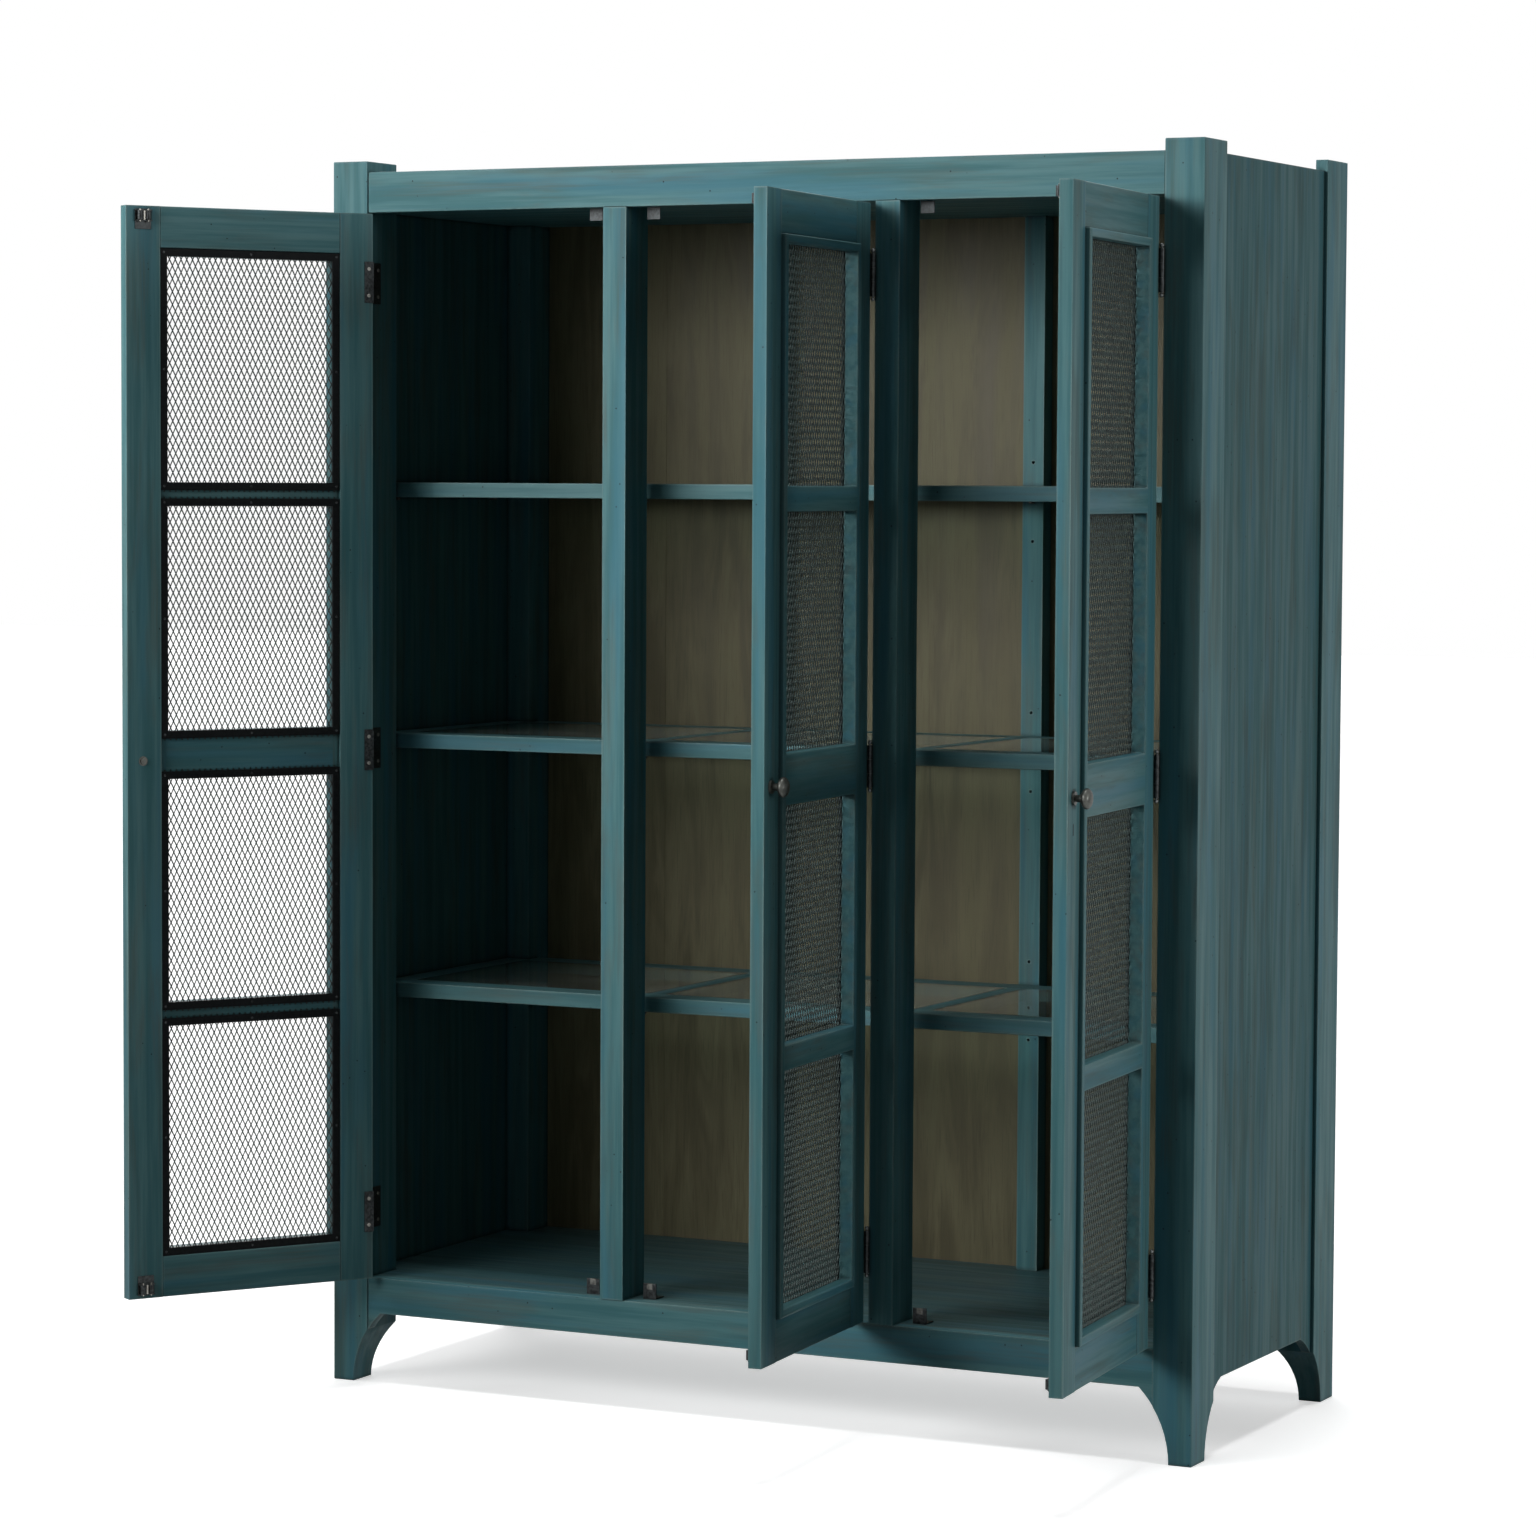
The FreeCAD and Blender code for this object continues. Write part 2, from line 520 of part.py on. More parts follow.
def door_hinges(door, fixed_leaves, fixed_screws):
    leaves, pins = [], []
    for key, base in HINGE_PLACES.items():
        fixed_plate = door.box("jamb_plate_" + key, "0", "leaf_thickness", "front + leaf_step", base,
                               "leaf_reach", "leaf_height")
        fixed_leaves.append(leaf(door, "jamb_leaf_" + key, [fixed_plate], "0", base, FIXED_KNUCKLES))
        door_u = "hinge_gap - leaf_thickness"
        edge_plate = door.box("edge_plate_" + key, door_u, "leaf_thickness", "front + leaf_step", base,
                              "door_thickness - leaf_step", "leaf_height")
        flange = door.box("flange_" + key, door_u, "flange_width + leaf_thickness", "door_back", base,
                          "leaf_thickness", "leaf_height")
        leaves.append(leaf(door, "door_leaf_" + key, [edge_plate, flange], door_u, base, DOOR_KNUCKLES))
        for end, screw_z in (("a", base + " + hinge_screw_inset"),
                             ("b", base + " + leaf_height - hinge_screw_inset")):
            fixed_screws.append(door.rod_x("jamb_screw_%s_%s" % (key, end), "leaf_thickness",
                                           "hinge_screw_height", "front + leaf_reach - leaf_screw_setback",
                                           screw_z, "hinge_screw_radius"))
            leaves.append(rod("%s_flange_screw_%s_%s" % (door.name, key, end), "y",
                              door.x("hinge_gap + flange_width/2"), "door_back + leaf_thickness",
                              screw_z, "hinge_screw_radius", "hinge_screw_height"))
        pivot_x = door.x("hinge_gap/2")
        reach = "finial_radius - finial_sink"
        shaft = rod("%s_pivot_%s" % (door.name, key), "z", pivot_x, "pivot_y", base + " - " + reach,
                    "pivot_radius", "leaf_height + 2*(%s)" % reach)
        balls = []
        for end, z in (("low", "%s - (%s) - knuckle_gap" % (base, "finial_radius")),
                       ("high", "%s + leaf_height + (%s) + knuckle_gap" % (base, "finial_radius"))):
            ball = doc.addObject("Part::Sphere", "%s_finial_%s_%s" % (door.name, key, end))
            balls.append(bind(ball, x=pivot_x, y="pivot_y", z=z, Radius="finial_radius"))
        pins.append(fuse("%s_pin_%s" % (door.name, key), [shaft] + balls))
    door.node("hinge_leaves", leaves)
    door.node("hinge_pins", pins)


def door_catches(door, strikes, strike_screws):
    """Roller catches at the latch corners, and the strikes they meet on the floor and ceiling."""
    catches = []
    start = "hinge_gap + door_width - catch_inset - catch_width"
    arm_u = start + " + catch_width/2 - arm_width/2"
    roller_u = start + " + catch_width/2 - roller_length/2"
    strike_u = start + " + catch_width/2 - strike_width/2"
    middle_x = door.x(start + " + catch_width/2")
    ends = {"low": ("door_base + catch_margin", "door_base + catch_margin", "opening_base", 1),
            "high": ("door_base + door_height - catch_margin - catch_height",
                     "door_base + door_height - catch_margin - arm_height", "ceiling_under", -1)}
    for end, (plate_z, arm_z, deck_z, up) in ends.items():
        plate = door.box("catch_plate_" + end, start, "catch_width", "door_back", plate_z, "catch_plate",
                         "catch_height")
        arm = door.box("catch_arm_" + end, arm_u, "arm_width", "door_back", arm_z, "roller_proud",
                       "arm_height")
        roller = door.rod_x("catch_roller_" + end, roller_u, "roller_length", "roller_y",
                            arm_z + " + arm_height/2", "roller_radius")
        catches.append(fuse("%s_catch_%s" % (door.name, end), [plate, arm, roller]))
        tab_z = deck_z if up > 0 else deck_z + " - strike_height"
        plate_deck_z = deck_z if up > 0 else deck_z + " - strike_plate"
        tab = door.box("strike_tab_" + end, strike_u, "strike_width", "strike_front", tab_z, "strike_plate",
                       "strike_height")
        foot = door.box("strike_foot_" + end, strike_u, "strike_width", "strike_front", plate_deck_z,
                        "strike_length", "strike_plate")
        strikes.append(fuse("%s_strike_%s" % (door.name, end), [tab, foot]))
        screw_z = deck_z + " + strike_plate" if up > 0 else deck_z + " - strike_plate - strike_screw_height"
        strike_screws.append(rod("%s_strike_screw_%s" % (door.name, end), "z", middle_x,
                                 "strike_front + strike_length/2", screw_z, "strike_screw_radius",
                                 "strike_screw_height"))
    door.node("catches", catches)


def build():
    fill_sheet()
    for side, side_name in ((-1, "left"), (1, "right")):
        for end, end_name in ((-1, "front"), (1, "rear")):
            post("post_%s_%s" % (end_name, side_name), side, end)
        x = "-mullion_x" if side < 0 else "mullion_x"
        mullion("mullion_" + side_name, x)
        side_panel("side_panel_" + side_name, side)
        rear_divider("rear_divider_" + side_name, x)
    front_rails()
    back()
    deck("floor_board", "opening_base - floor_thickness", "floor_thickness", "back_front")
    deck("ceiling_board", "ceiling_under", "ceiling_thickness", "back_front")
    top_board()
    for key, top in SHELF_TOPS.items():
        shelf(key, top)
    shelf_pins()
    doors = (Door("left", "-post_inner", 1, "left_rest"),
             Door("middle", "mullion_x - mullion_width/2", -1, "middle_rest"),
             Door("right", "post_inner", -1, "right_rest"))
    strikes, strike_screws, jamb_screws = [], [], []
    for door in doors:
        jamb_leaves = []
        door_frame(door)
        door_panes(door)
        door_knob(door)
        door_hinges(door, jamb_leaves, jamb_screws)
        door_catches(door, strikes, strike_screws)
        node("%s_jamb_leaves" % door.name, jamb_leaves)
    node("jamb_leaf_screws", jamb_screws)
    node("catch_strikes", strikes)
    node("strike_screws", strike_screws)


def export():
    doc.recompute()
    for obj in doc.Objects:
        if "Invalid" in obj.State or "Error" in obj.State:
            raise RuntimeError("%s failed to build: %s" % (obj.Label, obj.State))
    for obj in NODES:
        if obj.Shape.isNull() or not obj.Shape.isValid():
            raise RuntimeError("%s has no valid shape" % obj.Label)
    os.makedirs("parts", exist_ok=True)
    for obj in NODES:
        obj.Shape.exportStep("parts/%s.step" % obj.Label)
    print("%d sub-parts written" % len(NODES))


build()
export()
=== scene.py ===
"""Dresses the packed pie safe: eased and rubbed timber, expanded metal, iron, pewter and a pale studio."""
import json
import math
from contextlib import contextmanager

import bmesh
import bpy
from bpy.props import FloatProperty, FloatVectorProperty, PointerProperty
from bpy.types import Operator, Panel, PropertyGroup
from mathutils import Matrix, Vector


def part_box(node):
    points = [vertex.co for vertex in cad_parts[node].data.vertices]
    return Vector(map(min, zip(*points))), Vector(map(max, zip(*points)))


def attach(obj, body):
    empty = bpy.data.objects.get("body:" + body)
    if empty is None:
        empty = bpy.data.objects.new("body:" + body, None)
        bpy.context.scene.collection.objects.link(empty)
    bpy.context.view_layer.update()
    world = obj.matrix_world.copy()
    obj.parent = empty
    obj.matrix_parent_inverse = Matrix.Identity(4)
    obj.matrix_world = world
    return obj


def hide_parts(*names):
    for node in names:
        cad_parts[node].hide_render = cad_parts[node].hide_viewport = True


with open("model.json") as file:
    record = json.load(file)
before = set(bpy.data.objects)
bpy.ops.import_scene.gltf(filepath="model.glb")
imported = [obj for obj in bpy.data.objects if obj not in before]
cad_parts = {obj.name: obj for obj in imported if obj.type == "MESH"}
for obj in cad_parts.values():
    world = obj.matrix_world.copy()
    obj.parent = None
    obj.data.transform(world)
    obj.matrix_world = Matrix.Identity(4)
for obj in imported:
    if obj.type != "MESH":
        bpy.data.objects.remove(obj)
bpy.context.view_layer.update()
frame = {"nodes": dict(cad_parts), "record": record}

bl_info = {
    "name": "Pie Safe",
    "version": (1, 0, 0),
    "blender": (4, 5, 0),
    "location": "View3D > Sidebar > Pie Safe",
    "description": "Dresses a three-door pie safe around its construction model",
    "category": "Object",
}

SHELVES = ("bottom", "middle", "top")
DOORS = ("left", "middle", "right")
X, Y, Z = range(3)
REAL_EDGE = math.radians(40)


# Settings that a user would change

class TimberSettings(PropertyGroup):
    """Sizes and colours of the painted and stained wood"""
    round_edge: FloatProperty(name="Eased Edge", description="Radius of the sanded edges", default=0.0016,
                              unit="LENGTH")
    paint: FloatVectorProperty(name="Paint", description="The rubbed teal paint", subtype="COLOR", size=3,
                               default=(0.078, 0.182, 0.194))
    deep: FloatVectorProperty(name="Deep Paint", description="Paint left thick between the strokes",
                              subtype="COLOR", size=3, default=(0.044, 0.132, 0.145))
    blue: FloatVectorProperty(name="Blue Tone", description="Bluer strokes in the paint",
                              subtype="COLOR", size=3, default=(0.044, 0.155, 0.205))
    # painted shade: the side panels take the same paint darkened by this factor, for the weaker light on
    # them
    panel_painted_shade: FloatProperty(name="Panel Painted Shade", description="How dark the wide side panels are",
                              default=0.76, min=0.1, max=1.0)
    # painted shade: the floor board inside takes the same paint darkened by this factor
    floor_painted_shade: FloatProperty(name="Floor Painted Shade", description="How dark the floor board is", default=0.62,
                              min=0.1, max=1.0)
    # painted shade: the shelf frames inside take the same paint darkened by this factor
    shelf_painted_shade: FloatProperty(name="Shelf Painted Shade", description="How dark the shelf frames are", default=0.88,
                              min=0.1, max=1.0)
    glaze: FloatVectorProperty(name="Glaze", description="Brown glaze rubbed into the grain",
                               subtype="COLOR", size=3, default=(0.092, 0.110, 0.096))
    rubbed: FloatVectorProperty(name="Rubbed Edge", description="Paint worn thin on the edges",
                                subtype="COLOR", size=3, default=(0.170, 0.255, 0.250))
    board_joint: FloatProperty(name="Board Joint", description="Rounded joints of the back boards",
                               default=0.0006, unit="LENGTH")
    # Corner: near-black teal used as painted shade in corners and gaps
    corner: FloatVectorProperty(name="Painted Corner Shade", description="Shade painted into the corners",
                                subtype="COLOR", size=3, default=(0.010, 0.026, 0.028))
    stain_light: FloatVectorProperty(name="Light Stain", description="Pale figure of the back boards",
                                     subtype="COLOR", size=3, default=(0.140, 0.130, 0.072))
    stain_dark: FloatVectorProperty(name="Dark Stain", description="Dark figure of the back boards",
                                    subtype="COLOR", size=3, default=(0.070, 0.061, 0.030))


class PaneSettings(PropertyGroup):
    """Sizes of the expanded metal in the doors"""
    diamond_width: FloatProperty(name="Diamond Width", description="Short way of the mesh", default=0.0094,
                                 unit="LENGTH")
    diamond_height: FloatProperty(name="Diamond Height", description="Long way of the mesh", default=0.0194,
                                  unit="LENGTH")
    strand: FloatProperty(name="Strand", description="Width of one strand of the mesh", default=0.0015,
                          unit="LENGTH")
    sheet: FloatProperty(name="Sheet", description="Thickness of the metal", default=0.0012, unit="LENGTH")
    twist: FloatProperty(name="Twist", description="How far the strands lean out of the sheet",
                         default=0.0005, unit="LENGTH")


class HardwareSettings(PropertyGroup):
    """Sizes of the knobs and ironwork"""
    iron_edge: FloatProperty(name="Iron Edge", description="Rounded edge of hinges, catches and strikes",
                             default=0.0003, unit="LENGTH")
    strip_edge: FloatProperty(name="Strip Edge", description="Rounded edge of the strips round the mesh",
                              default=0.0007, unit="LENGTH")
    glass_edge: FloatProperty(name="Glass Edge", description="Ground edge of the shelf glass",
                              default=0.0005, unit="LENGTH")
    roller_radius: FloatProperty(name="Roller Radius", description="Radius of the rollers of a catch",
                                 default=0.0047, unit="LENGTH")
    roller_length: FloatProperty(name="Roller Length", description="Length of the rollers of a catch",
                                 default=0.014, unit="LENGTH")
    tab_width: FloatProperty(name="Tab Width", description="Width of the bright tongue of a strike",
                             default=0.0095, unit="LENGTH")
    tab_depth: FloatProperty(name="Tab Depth", description="Thickness of the bright tongue of a strike",
                             default=0.0024, unit="LENGTH")
    catch_lip: FloatProperty(name="Catch Lip", description="Thickness of the bent plate of a catch",
                             default=0.0014, unit="LENGTH")
    screw_limit: FloatProperty(name="Screw Limit", description="Solids smaller than this are screws",
                               default=0.012, unit="LENGTH")
    keyhole_width: FloatProperty(name="Keyhole Width", description="Width of the slot in the right door",
                                 default=0.003, unit="LENGTH")
    keyhole_height: FloatProperty(name="Keyhole Height", description="Height of the slot in the right door",
                                  default=0.016, unit="LENGTH")
    keyhole_drop: FloatProperty(name="Keyhole Drop", description="From the knob down to the slot",
                                default=0.043, unit="LENGTH")


class StageSettings(PropertyGroup):
    """The camera and the studio"""
    azimuth: FloatProperty(name="Azimuth", description="How far the camera stands round to the right",
                           default=math.radians(26.4), subtype="ANGLE")
    tilt: FloatProperty(name="Tilt", description="How far the camera looks down", default=math.radians(3.5),
                        subtype="ANGLE")
    roll: FloatProperty(name="Roll", description="How far the camera leans", default=math.radians(0.3),
                        subtype="ANGLE")
    place: FloatVectorProperty(name="Camera Place", description="Where the camera stands",
                               subtype="XYZ", size=3, unit="LENGTH", default=(3.1585, -6.5906, 1.4148))
    lens: FloatProperty(name="Lens", description="Focal length on a 36 mm sensor, in millimetres",
                        default=110.85)


SETTINGS = (("timber", TimberSettings), ("pane", PaneSettings), ("hardware", HardwareSettings),
            ("stage", StageSettings))


def settings(group):
    return getattr(bpy.context.scene, "pie_safe_" + group)


# Working by hand: selection, edit mode and modifiers

def activate(piece):
    bpy.ops.object.select_all(action="DESELECT")
    piece.select_set(True)
    bpy.context.view_layer.objects.active = piece


@contextmanager
def editing(piece):
    """Edit mode on one piece, with all of it selected."""
    activate(piece)
    bpy.ops.object.mode_set(mode="EDIT")
    bpy.ops.mesh.select_all(action="SELECT")
    yield
    bpy.ops.object.mode_set(mode="OBJECT")


def modify(piece, kind, **values):
    """Add a modifier, set it and apply it."""
    activate(piece)
    bpy.ops.object.modifier_add(type=kind)
    modifier = piece.modifiers[-1]
    for key, value in values.items():
        setattr(modifier, key, value)
    bpy.ops.object.modifier_apply(modifier=modifier.name)


def smooth(piece, angle=35):
    activate(piece)
    bpy.ops.object.shade_smooth_by_angle(angle=math.radians(angle))


def ease(piece, width):
    """Round every real edge of a piece."""
    modify(piece, "BEVEL", width=width, segments=2, limit_method="ANGLE", angle_limit=REAL_EDGE,
           use_clamp_overlap=True, harden_normals=False)
    smooth(piece, 50)
    modify(piece, "WEIGHTED_NORMAL", mode="FACE_AREA", weight=50, keep_sharp=True)


def welded_copy(node, name):
    """A copy of a construction node as one clean skin, ready to be worked on."""
    piece = bpy.data.objects.new(name, frame["nodes"][node].data.copy())
    piece.data.name = name
    bpy.context.collection.objects.link(piece)
    with editing(piece):
        bpy.ops.mesh.remove_doubles(threshold=1e-6)
        bpy.ops.mesh.dissolve_limited(angle_limit=math.radians(0.5))
    return piece


def part_boards(piece):
    """Give boards that touch their own sides again, where welding has made them share one."""
    with editing(piece):
        bpy.ops.mesh.select_mode(type="EDGE")
        bpy.ops.mesh.select_non_manifold(extend=False, use_wire=False, use_boundary=False,
                                         use_multi_face=True, use_non_contiguous=False, use_verts=False)
        bpy.ops.mesh.edge_split(type="EDGE")
        bpy.ops.mesh.select_mode(type="FACE")
        bpy.ops.mesh.select_all(action="DESELECT")
        bpy.ops.mesh.select_loose()
        bpy.ops.mesh.delete(type="FACE")
        bpy.ops.mesh.select_all(action="SELECT")
        bpy.ops.mesh.fill_holes(sides=0)
        bpy.ops.mesh.normals_make_consistent(inside=False)
        bpy.ops.mesh.select_mode(type="VERT")


def joined(pieces, name):
    """Several pieces made one."""
    activate(pieces[0])
    for piece in pieces:
        piece.select_set(True)
    if len(pieces) > 1:
        bpy.ops.object.join()
    pieces[0].name = name
    pieces[0].data.name = name
    return pieces[0]


def loose_parts(mesh):
    """The faces of each separate solid of a mesh."""
    shape = bmesh.new()
    shape.from_mesh(mesh)
    left = set(shape.faces)
    parts = []
    while left:
        part, edge = set(), [left.pop()]
        while edge:
            face = edge.pop()
            part.add(face.index)
            for near in {f for v in face.verts for f in v.link_faces} & left:
                left.discard(near)
                edge.append(near)
        parts.append(sorted(part))
    shape.free()
    return sorted(parts)


def extent(mesh, faces):
    """Lowest and highest corner of some faces."""
    points = [mesh.vertices[v].co for f in faces for v in mesh.polygons[f].vertices]
    return (Vector(min(p[i] for p in points) for i in range(3)),
            Vector(max(p[i] for p in points) for i in range(3)))


def solid_boxes(measure):
    """The corners of each solid of a copy that is made to measure, and then thrown away."""
    boxes = [extent(measure.data, faces) for faces in loose_parts(measure.data)]
    bpy.data.objects.remove(measure)
    return boxes


def finish_piece(piece, body, slot, material, *nodes):
    """Paint a piece, hang it on its body and let it stand for its nodes."""
    piece.data.materials.clear()
    piece.data.materials.append(material)
    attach(piece, body)
    if nodes:
        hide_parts(*nodes)


# Grain: each board carries its own coordinates, along the grain first

BOARD_SHIFT = Vector((1.37, 2.11, 3.73))


def lay_grain(piece, board_of=None):
    """Store the place of each face corner within its board.

    board_of gives the grain axis and the board's number for the centre of a face.  Without it each
    loose solid is a board whose grain runs along its longest side.
    """
    mesh = piece.data
    boards = {}
    if board_of is None:
        for number, faces in enumerate(loose_parts(mesh)):
            low, high = extent(mesh, faces)
            size = high - low
            along = max(range(3), key=lambda axis: size[axis])
            boards.update({face: (along, number) for face in faces})
    else:
        boards = {face.index: board_of(face.center) for face in mesh.polygons}
    grain = mesh.attributes.new("grain", "FLOAT_VECTOR", "CORNER")
    name_shift = sum(ord(letter) * (place + 1) for place, letter in enumerate(piece.name)) % 97
    for face in mesh.polygons:
        along, number = boards[face.index]
        shift = BOARD_SHIFT * (number + 1 + name_shift)
        for loop in face.loop_indices:
            place = mesh.vertices[mesh.loops[loop].vertex_index].co
            order = [along] + [axis for axis in range(3) if axis != along]
            grain.data[loop].vector = Vector(place[axis] for axis in order) + shift


def slice_piece(piece, planes):
    """Score a piece across at (axis, place) planes, so that each bar has its own faces."""
    for axis, place in planes:
        across = Vector((0, 0, 0))
        across[axis] = 1
        with editing(piece):
            bpy.ops.mesh.bisect(plane_co=across * place, plane_no=across)


# Shader nodes

def feed(tree, node, inputs):
    """Link the inputs that are sockets and set the others."""
    for key, value in inputs.items():
        if isinstance(value, bpy.types.NodeSocket):
            tree.links.new(value, node.inputs[key])
        else:
            node.inputs[key].default_value = value


def add(tree, kind, inputs=None, **values):
    """A shader node with its options set and its inputs fed."""
    node = tree.nodes.new("ShaderNode" + kind)
    for key, value in values.items():
        setattr(node, key, value)
    feed(tree, node, inputs or {})
    return node


def math_node(tree, operation, first, second):
    return add(tree, "Math", {0: first, 1: second}, operation=operation).outputs[0]


def opaque(colour):
    return (*colour, 1.0)


def mix_colour(tree, factor, first, second):
    """Blend two colours."""
    return add(tree, "Mix", {0: factor, 6: first, 7: second}, data_type="RGBA").outputs[2]


def span(tree, value, low, high, to_low=0.0, to_high=1.0):
    """Stretch a range of values to another, smoothly and held at its ends."""
    return add(tree, "MapRange", {"Value": value, "From Min": low, "From Max": high, "To Min": to_low,
                                  "To Max": to_high}, interpolation_type="SMOOTHSTEP").outputs[0]


def stretched_noise(tree, vector, scale, detail=3.0, rough=0.55, distort=0.0):
    """Noise drawn out along the first axis of a vector."""
    place = add(tree, "Mapping", {"Vector": vector, "Scale": scale}).outputs[0]
    return add(tree, "TexNoise", {"Vector": place, "Scale": 1.0, "Detail": detail, "Roughness": rough,
                                  "Distortion": distort}).outputs["Fac"]


def new_group(name, inputs, outputs):
    """A shader node group with named sockets: name to kind."""
    group = bpy.data.node_groups.new(name, "ShaderNodeTree")
    for label, kind in inputs.items():
        group.interface.new_socket(label, in_out="INPUT", socket_type="NodeSocket" + kind)
    for label, kind in outputs.items():
        group.interface.new_socket(label, in_out="OUTPUT", socket_type="NodeSocket" + kind)
    return group, group.nodes.new("NodeGroupInput").outputs, group.nodes.new("NodeGroupOutput").inputs


def edge_mask(tree, radius):
    """High near an edge: the Bevel node leans its normal where hands and sanding reach."""
    leaning = add(tree, "Bevel", {"Radius": radius}, samples=4).outputs[0]
    flat = add(tree, "NewGeometry").outputs["True Normal"]
    close = add(tree, "VectorMath", {0: leaning, 1: flat}, operation="DOT_PRODUCT").outputs["Value"]
    return span(tree, close, 0.995, 0.86)


def worm_holes(tree, vector):
    """A mask of small scattered dark holes."""
    cells = add(tree, "TexVoronoi", {"Vector": vector, "Scale": 115.0, "Randomness": 1.0})
    chosen = add(tree, "SeparateColor", {0: cells.outputs["Color"]}).outputs[0]
    return math_node(tree, "MULTIPLY", span(tree, cells.outputs["Distance"], 0.17, 0.11),
                     math_node(tree, "GREATER_THAN", chosen, 0.955))


PAINT_WEAR = 0.0045
METAL_WEAR = 0.0009
# how far the ambient occlusion reaches when it places the painted corner shade
PAINTED_SHADE_REACH = 0.010
HOLE_COLOUR = (0.012, 0.018, 0.018, 1.0)
PORE_COLOUR = (0.030, 0.025, 0.014, 1.0)


def rubbed_paint_group():
    """Brushed paint in several tones, rubbed through to a brown glaze, worn pale along the edges, with
    painted shade in corners.
    """
    group, given, out = new_group(
        "rubbed_paint",
        {"Grain": "Vector", "Paint": "Color", "Deep": "Color", "Blue": "Color", "Glaze": "Color",
         "Rubbed": "Color", "Corner": "Color"},
        {"Color": "Color", "Roughness": "Float", "Height": "Float"})
    grain = given["Grain"]
    strokes = stretched_noise(group, grain, (2.6, 70.0, 70.0), 4.0, 0.62)
    blue = stretched_noise(group, grain, (1.9, 31.0, 31.0), 2.0)
    patches = stretched_noise(group, grain, (4.2, 34.0, 34.0), 3.0, 0.6, 0.4)
    fine = stretched_noise(group, grain, (8.0, 330.0, 330.0), 3.0, 0.6)
    colour = mix_colour(group, span(group, strokes, 0.34, 0.64), given["Deep"], given["Paint"])
    colour = mix_colour(group, span(group, blue, 0.48, 0.66, 0.0, 0.60), colour, given["Blue"])
    rub = math_node(group, "MULTIPLY", span(group, patches, 0.46, 0.70),
                    span(group, fine, 0.32, 0.62, 0.35, 1.0))
    colour = mix_colour(group, math_node(group, "MULTIPLY", rub, 0.55), colour, given["Glaze"])
    colour = mix_colour(group, span(group, fine, 0.56, 0.74, 0.0, 0.40), colour, given["Deep"])
    edge = math_node(group, "MULTIPLY", edge_mask(group, PAINT_WEAR),
                     span(group, patches, 0.30, 0.60, 0.30, 0.95))
    colour = mix_colour(group, edge, colour, given["Rubbed"])
    # painted shade: the paint darkens towards the Corner colour where ambient occlusion finds corners and
    # gaps
    openness_for_painted_shade = add(group, "AmbientOcclusion", {"Distance": PAINTED_SHADE_REACH}, samples=6).outputs["AO"]
    colour = mix_colour(group, span(group, openness_for_painted_shade, 0.86, 0.42, 0.0, 0.80), colour, given["Corner"])
    hole = worm_holes(group, grain)
    colour = mix_colour(group, math_node(group, "MULTIPLY", hole, 0.85), colour, HOLE_COLOUR)
    links = group.links
    links.new(colour, out["Color"])
    links.new(math_node(group, "ADD", span(group, strokes, 0.3, 0.7, 0.52, 0.40),
                        math_node(group, "MULTIPLY", rub, 0.12)), out["Roughness"])
    height = math_node(group, "ADD", math_node(group, "MULTIPLY", strokes, 0.4),
                       math_node(group, "MULTIPLY", fine, 0.6))
    links.new(math_node(group, "SUBTRACT", height, math_node(group, "MULTIPLY", hole, 2.0)), out["Height"])
    return group


def stained_wood_group():
    """Veneer-like boards with drawn-out figure, pores and a change of tone from board to board."""
    group, given, out = new_group("stained_wood", {"Grain": "Vector", "Light": "Color", "Dark": "Color"},
                                  {"Color": "Color", "Roughness": "Float", "Height": "Float"})
    figure = stretched_noise(group, given["Grain"], (2.2, 20.0, 20.0), 4.0, 0.6, 0.8)
    pores = stretched_noise(group, given["Grain"], (22.0, 700.0, 700.0), 2.0)
    board = stretched_noise(group, given["Grain"], (0.5, 3.0, 3.0), 1.0)
    cloud = stretched_noise(group, given["Grain"], (5.0, 9.0, 9.0), 3.0)
    colour = mix_colour(group, span(group, figure, 0.36, 0.64), given["Dark"], given["Light"])
    colour = mix_colour(group, span(group, board, 0.35, 0.65, 0.0, 0.45), colour, given["Dark"])
    colour = mix_colour(group, span(group, cloud, 0.45, 0.75, 0.0, 0.35), colour, given["Light"])
    colour = mix_colour(group, span(group, pores, 0.52, 0.72, 0.0, 0.35), colour, PORE_COLOUR)
    links = group.links
    links.new(colour, out["Color"])
    links.new(span(group, figure, 0.3, 0.7, 0.46, 0.60), out["Roughness"])
    links.new(math_node(group, "SUBTRACT", figure, pores), out["Height"])
    return group


def worn_metal_group():
    """Handled metal: mottled colour that is brighter where it is rubbed."""
    group, given, out = new_group("worn_metal", {"Base": "Color", "Worn": "Color", "Grain Size": "Float"},
                                  {"Color": "Color", "Roughness": "Float", "Height": "Float"})
    place = add(group, "TexCoord").outputs["Object"]
    grain = {"Vector": place, "Scale": given["Grain Size"], "Detail": 4.0}
    mottle = add(group, "TexNoise", grain).outputs["Fac"]
    worn = math_node(group, "MULTIPLY", edge_mask(group, METAL_WEAR), span(group, mottle, 0.35, 0.65))
    tone = span(group, mottle, 0.35, 0.65, 0.0, 0.4)
    links = group.links
    colour = mix_colour(group, math_node(group, "MAXIMUM", worn, tone), given["Base"], given["Worn"])
    links.new(colour, out["Color"])
    links.new(span(group, mottle, 0.3, 0.7, 0.34, 0.52), out["Roughness"])
    links.new(mottle, out["Height"])
    return group


GROUPS = {}


def group_named(name, maker):
    if name not in GROUPS:
        GROUPS[name] = maker()
    return GROUPS[name]


